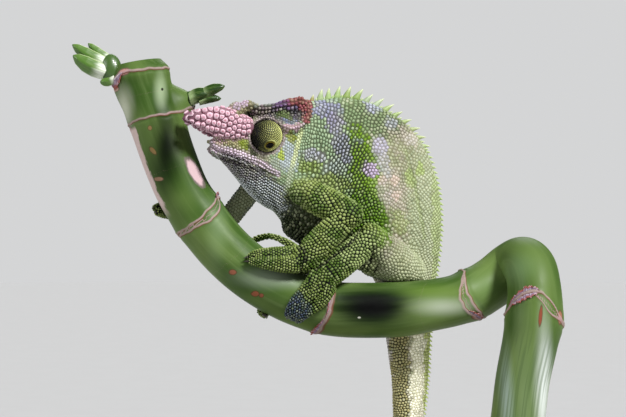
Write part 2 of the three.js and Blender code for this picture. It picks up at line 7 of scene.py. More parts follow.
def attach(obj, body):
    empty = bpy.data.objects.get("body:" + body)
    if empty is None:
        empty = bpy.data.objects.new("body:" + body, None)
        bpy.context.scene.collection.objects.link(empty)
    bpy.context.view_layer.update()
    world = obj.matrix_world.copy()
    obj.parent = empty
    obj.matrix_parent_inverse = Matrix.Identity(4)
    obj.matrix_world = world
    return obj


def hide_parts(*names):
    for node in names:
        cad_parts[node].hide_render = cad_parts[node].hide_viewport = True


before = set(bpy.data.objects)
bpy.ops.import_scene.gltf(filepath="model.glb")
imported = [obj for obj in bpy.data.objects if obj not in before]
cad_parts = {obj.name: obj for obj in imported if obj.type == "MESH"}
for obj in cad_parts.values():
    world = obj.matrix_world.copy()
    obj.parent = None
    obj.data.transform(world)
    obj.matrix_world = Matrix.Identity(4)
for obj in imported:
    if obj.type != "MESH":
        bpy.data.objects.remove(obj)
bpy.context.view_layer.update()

# ---------------------------------------------------------------- display base
# A flat board of dark walnut with round corners and a small worn bevel, planed, oiled and
# rubbed. It is screwed to nothing: its own weight steadies the rod that stands in it.

MM = 0.001
SET_BACK = -5.0  # where the bamboo's upright plane stands on the base
PLANE = np.array([0, SET_BACK, 0])
BOARD = {"width": 140, "depth": 84, "height": 8, "corner": 12, "bevel": 1.2}
ROD = {"x": 57.4, "y": -11.0, "radius": 3.0, "bevel": 0.4, "from": 4.0, "into": 12.0}


def new_piece(name, points, faces, finish, body="root"):
    """A smooth mesh object from points in millimetres, with its finish, on its body."""
    mesh = bpy.data.meshes.new(name)
    mesh.from_pydata((np.asarray(points) * MM).tolist(), [], [list(face) for face in faces])
    mesh.polygons.foreach_set("use_smooth", np.ones(len(mesh.polygons), bool))
    mesh.materials.append(finish.material)
    mesh.update()
    piece = bpy.data.objects.new(name, mesh)
    bpy.context.scene.collection.objects.link(piece)
    if body:
        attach(piece, body)
    return piece


def closed_tube(grid):
    """Points and faces of a closed tube over a grid of points, rings by sides."""
    rings, sides, _ = grid.shape
    index = np.arange(rings * sides).reshape(rings, sides)
    ahead = np.roll(index, -1, axis=1)
    walls = np.stack([index[:-1], ahead[:-1], ahead[1:], index[1:]], axis=-1).reshape(-1, 4)
    first, last = rings * sides, rings * sides + 1
    near = [(first, b, a) for a, b in zip(index[0], ahead[0])]
    far = [(last, a, b) for a, b in zip(index[-1], ahead[-1])]
    points = np.concatenate([grid.reshape(-1, 3), grid[[0, -1]].mean(axis=1)])
    return points, walls.tolist() + near + far


def paint(colour):
    """A display colour, 0 to 255, as the linear colour that a shader takes."""
    return tuple(np.power(np.array(colour) / 255.0, 2.2).tolist()) + (1.0,)


class Tint:
    """A number, vector or colour on its way through a finish; sums on it add the nodes."""

    def __init__(self, finish, socket):
        self.finish = finish
        self.socket = socket

    def sum(self, operation, first, second):
        """A sum of vectors where one takes part, and of numbers otherwise."""
        vectors = self.socket.type == "VECTOR" or tuple in (type(first), type(second))
        return (self.finish.vector if vectors else self.finish.math)(operation, first, second)

    def __add__(self, other):
        return self.sum("ADD", self, other)

    def __sub__(self, other):
        return self.sum("SUBTRACT", self, other)

    def __rsub__(self, other):
        return self.sum("SUBTRACT", other, self)

    def __mul__(self, other):
        return self.sum("MULTIPLY", self, other)

    def __truediv__(self, other):
        return self.sum("DIVIDE", self, other)

    def __abs__(self):
        return self.finish.math("ABSOLUTE", self, 0)

    __radd__ = __add__
    __rmul__ = __mul__

    def most(self, other):
        return self.finish.math("MAXIMUM", self, other)

    def dot(self, other):
        return self.finish.vector("DOT_PRODUCT", self, other, "Value")

    def length(self):
        return self.finish.vector("LENGTH", self, self, "Value")

    def part(self, axis):
        return self.finish.node("SeparateXYZ", {}, {"Vector": self}, axis)

    def ease(self, low, high):
        """0 up to low and 1 from high on, smooth between them; low may be the larger."""
        sockets = {"Value": self, 1: low, 2: high}
        return self.finish.node("MapRange", {"interpolation_type": "SMOOTHSTEP"}, sockets)

    def mix(self, none, full):
        """The colour between two, by this amount of the second."""
        return self.finish.blend(self, none, full)

    def coat(self, amount, *colour):
        """This colour under an amount of another one, 0 to 255."""
        return self.finish.blend(amount, self, colour)


class Finish:
    """A procedural finish, put together from expressions."""

    def __init__(self, name, **fixed):
        self.material = bpy.data.materials.new(name)
        self.material.use_nodes = True
        self.tree = self.material.node_tree
        self.shader = self.tree.nodes["Principled BSDF"]
        self.show(**fixed)

    def feed(self, socket, value):
        if isinstance(value, Tint):
            self.tree.links.new(value.socket, socket)
        else:
            socket.default_value = value

    def node(self, kind, settings, sockets, output=0):
        made = self.tree.nodes.new("ShaderNode" + kind)
        for key, value in settings.items():
            setattr(made, key, value)
        for key, value in sockets.items():
            self.feed(made.inputs[key], value)
        return Tint(self, made.outputs[output])

    def math(self, operation, a, b):
        return self.node("Math", {"operation": operation}, {0: a, 1: b})

    def vector(self, operation, a, b, output=0):
        return self.node("VectorMath", {"operation": operation}, {0: a, 1: b}, output)

    def attribute(self, name, output="Fac"):
        return self.node("Attribute", {"attribute_name": name}, {}, output)

    def place(self):
        """The point in millimetres in the model's frame."""
        return self.node("TexCoord", {}, {}, "Object") * (1000, 1000, 1000)

    def noise(self, at, scale, detail=3.0, output=0):
        return self.node("TexNoise", {}, {"Vector": at, "Scale": scale, "Detail": detail}, output)

    def blend(self, amount, a, b):
        a, b = (colour if isinstance(colour, Tint) else paint(colour) for colour in (a, b))
        return self.node("Mix", {"data_type": "RGBA"}, {0: amount, 6: a, 7: b}, 2)

    def bump(self, height, distance, strength=1.0):
        sockets = {"Height": height, "Distance": distance * MM, "Strength": strength}
        return self.node("Bump", {}, sockets)

    def show(self, **sockets):
        for socket, value in sockets.items():
            self.feed(self.shader.inputs[socket.replace("_", " ")], value)


def board_grid():
    """Rings of the board's outline, from its underside up round both bevels."""
    width, depth, corner, bevel = (BOARD[key] for key in ("width", "depth", "corner", "bevel"))
    turns = np.radians(np.arange(0, 360, 5))
    levels = []
    for step in np.radians([0, 22.5, 45, 67.5, 90]):
        levels.append((bevel * (1 - np.sin(step)), bevel * (1 - np.cos(step))))
    levels += [(inset, BOARD["height"] - z) for inset, z in reversed(levels)]
    rings = []
    for inset, z in levels:
        radius = corner - inset
        x = np.sign(np.cos(turns)) * (width / 2 - corner) + radius * np.cos(turns)
        y = np.sign(np.sin(turns)) * (depth / 2 - corner) + radius * np.sin(turns)
        x[np.abs(np.cos(turns)) < 1e-9] = 0
        y[np.abs(np.sin(turns)) < 1e-9] = 0
        rings.append(np.stack([x, y, np.full_like(x, z)], axis=-1))
    return np.array(rings)


walnut = Finish("oiled_walnut")
spot = walnut.place()
drawn = spot * (0.012, 0.16, 0.16)
figure = walnut.noise(drawn, 1.6, 4.0)
rings = walnut.node("TexWave", {"bands_direction": "Y"}, {
    "Vector": drawn + walnut.noise(drawn, 0.9, 2.0, 1) * (2, 2, 2),
    "Scale": 0.9, "Distortion": 2.0, "Detail": 2.0,
})
pores = walnut.noise(spot * (0.06, 2.2, 2.2), 1.0, 2.0)
tone = figure.mix((52, 30, 18), (104, 66, 41))
tone = tone.coat(rings * 0.45, 38, 22, 14)
tone = tone.coat(pores.ease(0.62, 0.75) * 0.6, 22, 13, 9)
walnut.show(
    Base_Color=tone,
    Roughness=0.34 + figure * 0.2,
    Normal=walnut.bump(pores * -0.4 + figure * 0.2, 0.15, 0.5),
)
points, faces = closed_tube(board_grid())
board = new_piece("display_base", points, faces, walnut)
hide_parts("stand_base")

# ---------------------------------------------------------------- display rod
# One rod of bright steel, drawn and brushed round, that is pressed into the board and goes up
# into a hole in the bamboo's cut end.

steel = Finish("brushed_steel", Metallic=1.0)
spot = steel.place()
brushed = steel.noise(spot * (0.4, 0.4, 9.0), 1.0, 2.0)
steel.show(
    Base_Color=brushed.mix((150, 152, 155), (196, 198, 200)),
    Roughness=0.2 + brushed * 0.22,
    Normal=steel.bump(brushed, 0.02, 0.4),
)
STEM_CUT = 50.4  # height of the bamboo's cut end
rod_top, bevel = STEM_CUT + ROD["into"], ROD["bevel"]
turns = np.radians(np.arange(0, 360, 10))
z = np.array([ROD["from"], ROD["from"] + bevel, 20, 40, rod_top - bevel, rod_top])[:, None]
radius = ROD["radius"] - np.array([bevel, 0, 0, 0, 0, bevel])[:, None]
x, y = ROD["x"] + radius * np.cos(turns), ROD["y"] + SET_BACK + radius * np.sin(turns)
points, faces = closed_tube(np.stack(np.broadcast_arrays(x, y, z), axis=-1))
rod = new_piece("display_rod", points, faces, steel)
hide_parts("stand_rod")

# ---------------------------------------------------------------- bamboo stem
# A fresh stem of lucky bamboo, grown in a curl and cut at both ends: smooth, waxy green bark
# in lengths, with a thin raised leaf scar round it at each node and a few healed nicks.

STEM = [  # axis from the upper node to the cut below the bend: x, y, z, radius
    (-61.8, 5, 170.6, 7.6), (-61.2, 5, 167.4, 9.4), (-60, 5, 162.6, 9.3), (-58, 4.7, 157.4, 8.9),
    (-55.4, 4.5, 150.9, 9.1), (-53.1, 4, 143.8, 8.9), (-50.2, 3, 136.1, 8.8),
    (-46.9, 2.5, 128.7, 8.7), (-41.7, 2, 120.6, 8.75), (-34.6, 1, 111.7, 8.75),
    (-26.9, 0, 104.6, 8.8), (-18.6, 0, 98.9, 8.75), (-9.6, 0, 94.4, 8.6), (0, 0, 91.8, 8.8),
    (9.6, 0, 91.2, 8.95), (22.4, 0, 91.5, 8.9), (32.7, 0.5, 92.9, 8.4), (40.1, 1.5, 94.3, 8.25),
    (46.7, 3.5, 96.6, 8.4), (53.1, 6, 100.2, 8.4), (58.4, 6.5, 104.4, 8.4), (61.7, 2, 106.4, 8.4),
    (63.3, -4.5, 104.5, 8.5), (63.9, -9, 99.6, 8.5), (64.0, -10.5, 93.4, 8.9),
    (63.6, -11, 88.1, 9.15), (62.3, -11, 80.9, 8.8), (60.1, -11, 69.9, 8.6),
    (58.7, -11, 58.3, 8.6), (57.6, -11, 50.4, 8.6),
]
# Leaf scars: the line of each as turn in degrees and distance down the stem, its height, its width
SCARS = {
    "top": ([(0, 3.4), (60, 3.8), (101, 3.8), (144, 3.2), (188, 2.6), (215, 4.2), (250, 5.2),
             (310, 4.0)], 0.22, 0.4),
    "second": ([(0, 18.8), (62, 19.8), (97, 20), (129, 19.6), (172, 18.3), (206, 17.8),
                (270, 18)], 0.2, 0.35),
    "third_upper": ([(0, 53), (82, 52), (116, 54), (158, 55.5), (201, 55), (246, 54),
                     (300, 53.4)], 0.2, 0.35),
    "third_lower": ([(0, 53.2), (82, 52.4), (94, 55), (114, 57), (139, 58), (156, 57.3), (201, 56.2),
                     (246, 55), (300, 53.8)], 0.2, 0.35),
    "foot": ([(0, 104), (60, 105), (111, 106.2), (176, 106.2), (199, 105.3), (221, 104.4),
              (262, 103.3)], 0.3, 0.8),
    "bend_left": ([(0, 153.4), (124, 152), (144, 149), (165, 147), (186, 146.2), (206, 146.9), (227, 148.3),
                   (257, 151), (300, 153)], 0.24, 0.35),
    "bend_right": ([(0, 153.6), (124, 152.2), (152, 149.4), (176, 148.7), (195, 149), (217, 150),
                    (242, 151.3), (281, 153.4)], 0.22, 0.35),
    "sheath": ([(0, 201), (64, 200.6), (107, 198.2), (118, 196.1), (131, 193.8), (144, 192.5), (159, 191.9),
                (176, 192.1), (202, 193.9), (217, 195.8), (232, 198.2), (290, 200)], 0.28, 0.35),
    "sheath_edge": ([(0, 201.4), (64, 201), (97, 199.4), (124, 198), (137, 196.6), (148, 194.6), (160, 192.6),
                     (202, 194.2), (232, 198.6), (290, 200.4)], 0.15, 0.25),
}


def along(rows, t):
    """Values at t, from 0 to 1, on a smooth curve through evenly spaced rows."""
    rows = np.asarray(rows, float)
    place = np.clip(t, 0, 1) * (len(rows) - 1)
    i = np.minimum(place.astype(int), len(rows) - 2)
    f = (place - i)[..., None]
    a = rows[np.maximum(i - 1, 0)]
    b = rows[i]
    c = rows[i + 1]
    d = rows[np.minimum(i + 2, len(rows) - 1)]
    return b + 0.5 * f * (c - a + f * (2 * a - 5 * b + 4 * c - d + f * (3 * (b - c) + d - a)))


def unit(vectors):
    return vectors / np.maximum(np.linalg.norm(vectors, axis=-1, keepdims=True), 1e-9)


def tube_frame(rows, t, facing):
    """Centre, other values, and the directions out and across of a tube at t."""
    values = along(rows, t)
    if facing.ndim == 2:
        facing = along(facing, t)
    ahead = along(rows, np.minimum(t + 0.01, 1)) - along(rows, np.maximum(t - 0.01, 0))
    ahead = unit(ahead[..., :3])
    out = unit(facing - ahead * (facing * ahead).sum(-1, keepdims=True))
    return values[..., :3], values[..., 3:], out, np.cross(ahead, out), ahead


def tube_point(rows, t, turn, facing, grow=0.0):
    """Points of a tube through rows of centre, half width and half depth."""
    centre, sizes, out, across, _ = tube_frame(rows, t, np.asarray(facing, float))
    wide = sizes[..., :1] + grow
    deep = sizes[..., -1:] + grow
    return centre + out * np.cos(turn)[..., None] * deep + across * np.sin(turn)[..., None] * wide


def spans(rings, sides, first=0.0, last=1.0):
    """A column of places along a tube, and a row of turns round it."""
    return np.linspace(first, last, rings)[:, None], np.linspace(0, 2 * np.pi, sides + 1)[None, :-1]


STEM_FACING = (0.5, 1, 0)
STEM_RINGS, STEM_SIDES = 620, 96
FAR_OFF = 99.0  # more scar widths away than any finish looks
t, turn = spans(STEM_RINGS, STEM_SIDES)
axis = along(STEM, t)[..., :3]
steps = np.linalg.norm(np.diff(axis[:, 0], axis=0), axis=-1)
length = np.concatenate([[0], np.cumsum(steps)])[:, None]
swell = np.zeros((STEM_RINGS, STEM_SIDES))
nearest_scar = np.full((STEM_RINGS, STEM_SIDES), FAR_OFF)
for line, height, width in SCARS.values():
    ring_at = np.interp(np.degrees(turn), *zip(*line), period=360)
    waver = 0.12 * np.sin(9 * turn + line[0][1]) + 0.08 * np.sin(17 * turn + line[1][1])
    offset = length - ring_at - waver
    swell = swell + height * np.exp(-((offset / width) ** 2)) + 0.2 * np.exp(-((offset / 3.0) ** 2))
    swell = swell - 0.12 * np.exp(-(((offset - 1.0) / 0.5) ** 2))
    closer = np.abs(offset) / width < np.abs(nearest_scar)
    nearest_scar = np.where(closer, offset / width, nearest_scar)
STALK = {"down": 17.0, "turn": 52, "reach": 5.2, "spread": (5.4, 0.62)}  # the side shoot's foot
sideways = (turn - np.radians(STALK["turn"]) + np.pi) % (2 * np.pi) - np.pi
from_stalk = np.hypot((length - STALK["down"]) / STALK["spread"][0], sideways / STALK["spread"][1])
swell = swell + STALK["reach"] * np.clip(1 - from_stalk**2 / 1.9, 0, 1) ** 1.7
centre, sizes, out, across, _ = tube_frame(STEM, t, np.array(STEM_FACING, float))
reach = sizes + swell[..., None] - 0.15
grid = centre + out * np.cos(turn)[..., None] * reach + across * np.sin(turn)[..., None] * reach
grid = grid + np.array([0, SET_BACK, 0])

bark = Finish("bamboo_bark", Specular_IOR_Level=0.13)
spot = bark.place()
fibre = bark.attribute("fibre", "Vector")
scar = bark.attribute("scar")
streak = bark.noise(fibre * (0.5, 0.5, 0.035), 1.0, 4.0)
cloud = bark.noise(fibre * (0.05, 0.05, 0.035), 1.0, 2.0)
fleck = bark.noise(fibre * (0.9, 0.9, 0.5), 1.0, 3.0)
green = cloud.ease(0.35, 0.65).mix((60, 86, 36), (100, 122, 66))
green = green.coat(streak.ease(0.45, 0.8) * 0.22, 140, 162, 104)
STEM_LIGHT_AND_SHADE = [  # patches of painted shade, painted highlight and painted reflection on the bark: x, y, z, reach along x, y, z, colour, amount
    (-52, -9, 143, 6.0, 9, 17, (2, 14, 0), 0.97), (13, -14, 93.0, 18, 10, 8, (4, 22, 0), 0.98),
    (-51, -9, 160, 3.6, 9, 8, (40, 66, 14), 0.7), (13, -14, 92.6, 14, 10, 6, (0, 2, 0), 0.98),
    (-66, -7, 155, 3.8, 9, 8, (206, 210, 186), 0.9), (-53.6, -9, 162, 2.4, 6, 7, (176, 194, 156), 0.7),
    (-36, -10, 116, 4, 8, 14, (138, 160, 128), 0.25), (-18, -12, 102, 14, 8, 4, (140, 152, 132), 0.7),
    (36, -12, 92.6, 12, 8, 3.4, (176, 184, 164), 0.7), (60, -14, 104, 7, 9, 6, (120, 146, 104), 0.6),
    (60, -20, 66, 4, 9, 30, (136, 150, 116), 0.6), (49, -12, 99, 7, 9, 6, (118, 144, 88), 0.5),
    (33, -12, 97.5, 12, 9, 2.6, (92, 118, 44), 0.6),
    (65.4, -20, 70, 3.4, 9, 26, (230, 236, 232), 0.9), (54.4, -20, 64, 2.6, 9, 18, (160, 176, 172), 0.75),
    (-30, -12, 92, 8, 10, 6, (84, 108, 56), 0.5), (61, -24, 76, 4.5, 8, 22, (88, 112, 58), 0.5),
]
for x, y, z, rx, ry, rz, colour, amount in STEM_LIGHT_AND_SHADE:
    away = (spot - (x, y, z)) * (1 / rx, 1 / ry, 1 / rz)
    patch = (away.length() + cloud * 0.5 + streak * 0.3).ease(1.7, 0.4)
    green = green.coat(patch * amount, *colour)
STRIP_TURN = np.radians(226)  # a long pale pink strip down the side
STEM_NICKS = [  # healed nicks: x, y, z, reach along x, z, lean, colour
    (-42.9, -8.3, 135.2, 1.9, 4.6, 0.5, (206, 176, 180)), (-30.7, -13.1, 103.6, 1.2, 0.9, 0, (150, 92, 70)),
    (-23.6, -12.6, 96.8, 1.3, 0.9, 0, (150, 88, 62)), (-21.7, -12.9, 96.3, 0.8, 0.7, 0, (142, 84, 62)),
    (-56.2, -9.3, 142.0, 0.9, 1.3, 0.6, (128, 104, 66)), (-57.1, -9.4, 149.2, 0.7, 0.8, 0, (134, 110, 74)),
    (-54.4, -9.2, 133.0, 1.6, 0.7, 0, (146, 116, 92)), (46.8, -7.5, 89.5, 1.9, 1.3, 0, (150, 98, 66)),
    (64.6, -24.6, 90.5, 0.55, 3.2, -0.1, (140, 74, 56)), (71.0, -20, 90.0, 0.9, 2.2, 0, (160, 110, 90)),
    (-53.4, -5.2, 161.6, 0.35, 0.45, 0, (20, 26, 12)), (9.1, -13.8, 89.4, 0.5, 0.3, 0, (190, 190, 176)),
    (-64.6, -6.0, 148.6, 1.3, 1.6, 0, (196, 158, 150)), (-65.4, -6.0, 167.0, 2.0, 1.3, -0.5, (190, 140, 132)),
    (-68.6, -2.0, 162.0, 1.6, 1.0, 0, (196, 160, 140)),
]
for x, y, z, rx, rz, lean, colour in STEM_NICKS:
    away = spot - (x, y, z)
    sideways = away.dot((1 / rx, 0, lean / rx))
    upright = away.dot((0, 0, 1 / rz))
    near = away.dot((0, 1 / 6, 0))
    apart = sideways * sideways + upright * upright + near * near + fleck * 0.8
    green = green.coat(apart.ease(1.9, 1.4) * 0.7, *(0.6 * np.array(colour)))
    green = green.coat(apart.ease(1.4, 0.9) * 0.9, *colour)
strip = fibre.dot((np.cos(STRIP_TURN), np.sin(STRIP_TURN), 0))
down = fibre.part(2)
pale_strip = (strip + fleck * 0.8).ease(8.6, 8.95) * down.ease(19, 21) * down.ease(50, 44)
green = green.coat(pale_strip * 0.85, 222, 196, 192)
grainy = bark.noise(fibre * (1.1, 1.1, 0.02), 1.0, 3.0)
green = green.coat(grainy.ease(0.48, 0.58) * down.ease(198, 212) * 0.5, 78, 98, 60)
ring = abs(scar).ease(1.5, 0.5)
brown = abs(scar - 1.1).ease(0.6, 0.2)
green = green.coat(ring * (0.4 + fleck * 0.6), 176, 146, 148)
green = green.coat(brown * (0.4 + fleck * 0.6), 112, 66, 48)
bark.show(
    Base_Color=green,
    Roughness=0.36 + fleck * 0.16 + ring * 0.25,
    Normal=bark.bump(streak * 0.5 + fleck * 0.25, 0.06, 0.3),
)
HOLE_RADIUS, HOLE_LEVELS = 3.25, (0.1, 12.3)  # the rod's hole, from just over the cut
hole_around = out[-1, 0] * np.cos(turn[0])[:, None] + across[-1, 0] * np.sin(turn[0])[:, None]
hole = np.array([ROD["x"], ROD["y"] + SET_BACK, 0]) + hole_around * HOLE_RADIUS
hole_rings = np.stack([hole] * 2)
hole_rings[..., 2] = STEM_CUT + np.array(HOLE_LEVELS)[:, None]
rim = grid[-1] * 0.75 + hole_rings[0] * 0.25
grid = np.concatenate([grid, rim[None], hole_rings])
points, faces = closed_tube(grid)
stem = new_piece("bamboo_stem", points, faces, bark)
reach = np.concatenate([sizes[:, 0, 0], [8.6, 3.2, 3.2]])[:, None]
down = np.concatenate([length, np.full((3, 1), length[-1, 0])])
fibres = np.stack(np.broadcast_arrays(np.cos(turn) * reach, np.sin(turn) * reach, down), axis=-1)
fibres = np.concatenate([fibres.reshape(-1, 3), [[0, 0, 0], [0, 0, length[-1, 0]]]])
scars = np.concatenate([nearest_scar.ravel(), np.full(3 * STEM_SIDES + 2, FAR_OFF)])


def store(piece, **kept):
    """Keep numbers or vectors for the points of a piece, for its finish to read."""
    for name, values in kept.items():
        values = np.asarray(values, float)
        number = values.ndim == 1
        layer = piece.data.attributes.new(name, "FLOAT" if number else "FLOAT_VECTOR", "POINT")
        layer.data.foreach_set("value" if number else "vector", values.ravel())


store(stem, fibre=fibres, scar=scars)
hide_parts("stem")

# ---------------------------------------------------------------- torn sheaths
# Dry rags of the leaf sheaths that once wrapped the nodes: thin, papery, split into points along
# the grain, white where they are fast to the stem, then purple, and rust brown at their edges.

RAGS = [  # turn from and to, scar they stand on, reach down the stem, how far they stand off
    (150, 218, "sheath", -1.5, 0.6), (156, 214, "sheath", 2.4, 0.3),
    (196, 262, "foot", -1.9, 0.6), (214, 262, "bend_left", 1.8, 0.35),
    (186, 226, "top", 3.4, 0.3), (76, 96, "third_upper", -1.6, 1.1), (120, 190, "foot", -0.9, 0.3),
]
rag_finish = Finish("dry_sheath")
way = rag_finish.attribute("way")
grain = rag_finish.noise(rag_finish.attribute("fibre", "Vector") * (2.6, 0.4, 1), 1.0)
tone = way.ease(0.5, 0.85).mix((132, 108, 132), (150, 74, 58))
tone = tone.coat(grain.ease(0.5, 0.62) * 0.7, 206, 190, 204)
tone = tone.coat(way.ease(0.2, 0.08), 228, 214, 220)
tone = tone.coat(grain.ease(0.42, 0.3) * 0.6, 86, 48, 44)
rag_finish.show(Base_Color=tone, Roughness=0.7 + grain * 0.2, Normal=rag_finish.bump(grain, 0.15, 0.8))


stem_t, stem_length = t, length


def bark_point(turn, down, lift):
    """A point over the bark, turn round the stem and down it, lifted off it."""
    at = np.interp(down, stem_length[:, 0], stem_t[:, 0])
    centre, sizes, out, across, _ = tube_frame(STEM, at, np.array(STEM_FACING, float))
    reach = sizes + lift[..., None]
    return centre + (out * np.cos(turn)[..., None] + across * np.sin(turn)[..., None]) * reach + PLANE


def joined(grids):
    """Points and faces of many closed tubes in one mesh."""
    points, faces = [], []
    for grid in grids:
        more, walls = closed_tube(grid)
        faces += [[corner + len(points) for corner in face] for face in walls]
        points += more.tolist()
    return points, faces


ROWS = 6  # from the foot of a rag to its edge, on each of its two faces
grids, ways, fibres = [], [], []
for first, last, scar_name, reach_down, lifted in RAGS:
    columns = np.radians(np.linspace(first, last, int((last - first) * 1.2)))
    row = np.linspace(0, 1, ROWS)[:, None]
    rag_at = np.interp(np.degrees(columns), *zip(*SCARS[scar_name][0]), period=360)
    taper = np.sin(np.pi * np.linspace(0.03, 0.97, len(columns))) ** 0.5
    torn = 0.82 + 0.1 * np.sin(columns * 31 + first) + 0.08 * np.sin(columns * 67 + last)
    down = rag_at + reach_down * row * taper * torn
    lift = 0.12 + lifted * row**1.5 * (0.8 + 0.3 * np.sin(columns * 23))
    shell = [bark_point(columns * np.ones_like(row), down, lift + grow) for grow in (0.12, -0.12)]
    grids.append(np.moveaxis(np.concatenate([shell[0], shell[1][::-1]]), 0, 1))
    ways += np.tile(np.concatenate([row[:, 0], row[::-1, 0]]), len(columns)).tolist() + [0, 0]
    around = np.repeat(columns, 2 * ROWS) * 9
    across = np.tile(np.arange(2.0 * ROWS), len(columns))
    fibres += np.stack([around, across, around * 0], axis=-1).tolist() + [[0, 0, 0]] * 2
rags = new_piece("torn_sheaths", *joined(grids), rag_finish)
store(rags, way=ways, fibre=fibres)

# ---------------------------------------------------------------- shoots
# Two young shoots of the bamboo: a round green bud on the side of a node, wrapped in sheaths, with firm,
# folded, pointed leaves that come out of it and overlap.

SHOOTS = {  # bud or collar: centre, radius, half height; leaves: from, to, half width, half thickness, blunt
    "top": {
        "bud": (-70.2, 2.6, 168.0, 3.4, 4.7),
        "leaves": [
            ((-71.6, 2.6, 170.0), (-82.6, 2.4, 176.2), 2.3, 1.7, 0.75),
            ((-71.8, 1.2, 167.0), (-82.2, 1.0, 172.6), 2.8, 1.9, 0.75),
            ((-70.2, 4.2, 171.0), (-77.8, 4.2, 176.8), 1.8, 1.4, 0.8),
            ((-68.8, 0.6, 165.6), (-73.4, 0.8, 163.8), 1.6, 1.2, 0.5),
        ],
    },
    "side": {
        "bud": (-44.9, 4.4, 158.5, 2.0, 2.7),
        "leaves": [
            ((-45.0, 3.8, 158.8), (-38.7, 3.6, 160.6), 2.5, 2.1, 0.35),
            ((-41.6, 3.4, 159.8), (-33.7, 2.8, 163.0), 1.9, 1.4, 0.8),
            ((-41.0, 4.8, 160.2), (-35.3, 5.0, 163.4), 1.4, 1.1, 0.8),
            ((-42.0, 3.6, 158.0), (-34.9, 3.4, 159.0), 1.5, 1.2, 0.8),
        ],
    },
}
LEAF_FORM = [(0.0, 0.8), (0.3, 1.0), (0.6, 0.92), (0.85, 0.55), (1.0, 0.03)]  # way along, fullness

leaf_green = Finish("shoot_leaf", Coat_Weight=0.2)
way = leaf_green.attribute("way")
edge = leaf_green.attribute("edge")
veins = leaf_green.noise(leaf_green.attribute("fibre", "Vector") * (1.6, 1.6, 0.12), 1.0, 2.0)
young = leaf_green.place().part(0).ease(-60, -62)
pale = young.mix((150, 172, 120), (226, 232, 214))
green = young.mix((38, 66, 16), (80, 116, 44))
tone = (way + veins * 0.2).ease(0.3, 0.62).mix(pale, green)
tone = tone.coat(veins.ease(0.5, 0.7) * 0.4, 116, 140, 74)
# painted highlight: the leaves paler along their side edges
tone = tone.coat(edge.ease(0.88, 1.0) * 0.8, 186, 202, 150)
tone = tone.coat(way.ease(0.08, 0.0), 68, 96, 46)
leaf_green.show(Base_Color=tone, Roughness=0.3 + veins * 0.2, Normal=leaf_green.bump(veins, 0.08, 0.5))

for name, shoot in SHOOTS.items():
    ways, edges, fibres = [], [], []
    x, y, z, radius, tall = shoot["bud"]
    t, turn = spans(40, 48, 0.02, 0.98)
    wrap = 1 + 0.05 * np.sign(np.sin(2 * turn + 5 * t)) * np.abs(np.sin(2 * turn + 5 * t)) ** 0.3
    lean = 1 + 0.12 * np.cos(np.pi * t)
    around = radius * np.sin(np.pi * t) * wrap * 0.97
    grid = np.stack([
        x + around * np.cos(turn), y + around * np.sin(turn),
        z + (tall * np.cos(np.pi * t) * lean) * np.ones_like(turn),
    ], axis=-1)
    parts = [(grid, np.zeros((40, 48)), 0.6 + 0.4 * (wrap > 1))]
    for start, end, width, thickness, blunt in shoot["leaves"]:
        t, turn = spans(41, 48)
        full = np.interp(t, *zip(*LEAF_FORM)) ** blunt
        start, end = np.array(start, float), np.array(end, float)
        run = unit(end - start)
        out = unit(np.array([0.5, 1, 0]) - run * np.dot([0.5, 1, 0], run))
        side = np.cross(run, out)
        bow = np.sin(np.pi * t)[..., None] * side * 0.5
        centre = start + (end - start) * t[..., None] + bow
        across = np.sin(turn) * width * full
        deep = np.cos(turn) * thickness * full * (0.55 + 0.45 * np.cos(turn) ** 2)
        ribs = 1 + 0.05 * np.cos(6 * turn)
        grid = centre + out * (deep * ribs)[..., None] + side * (across - 0.12 * np.abs(deep))[..., None]
        parts.append((grid, t * np.ones_like(turn) + 0.1, np.abs(np.sin(turn)) * np.ones_like(t)))
    for grid, way_along, edge_of in parts:
        ways += way_along.ravel().tolist() + [way_along[0, 0], way_along[-1, 0]]
        edges += edge_of.ravel().tolist() + [0, 0]
        rings, sides, _ = grid.shape
        flat = np.stack(np.broadcast_arrays(
            3 * np.cos(turn), 3 * np.sin(turn), np.linspace(0, 14, rings)[:, None]), axis=-1)
        fibres += flat.reshape(-1, 3).tolist() + [[0, 0, 0], [0, 0, 14]]
    points, faces = joined([grid + PLANE for grid, _, _ in parts])
    piece = new_piece(f"shoot_{name}_leaves", points, faces, leaf_green)
    store(piece, way=ways, edge=edges, fibre=fibres)
    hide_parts(f"shoot_{name}")
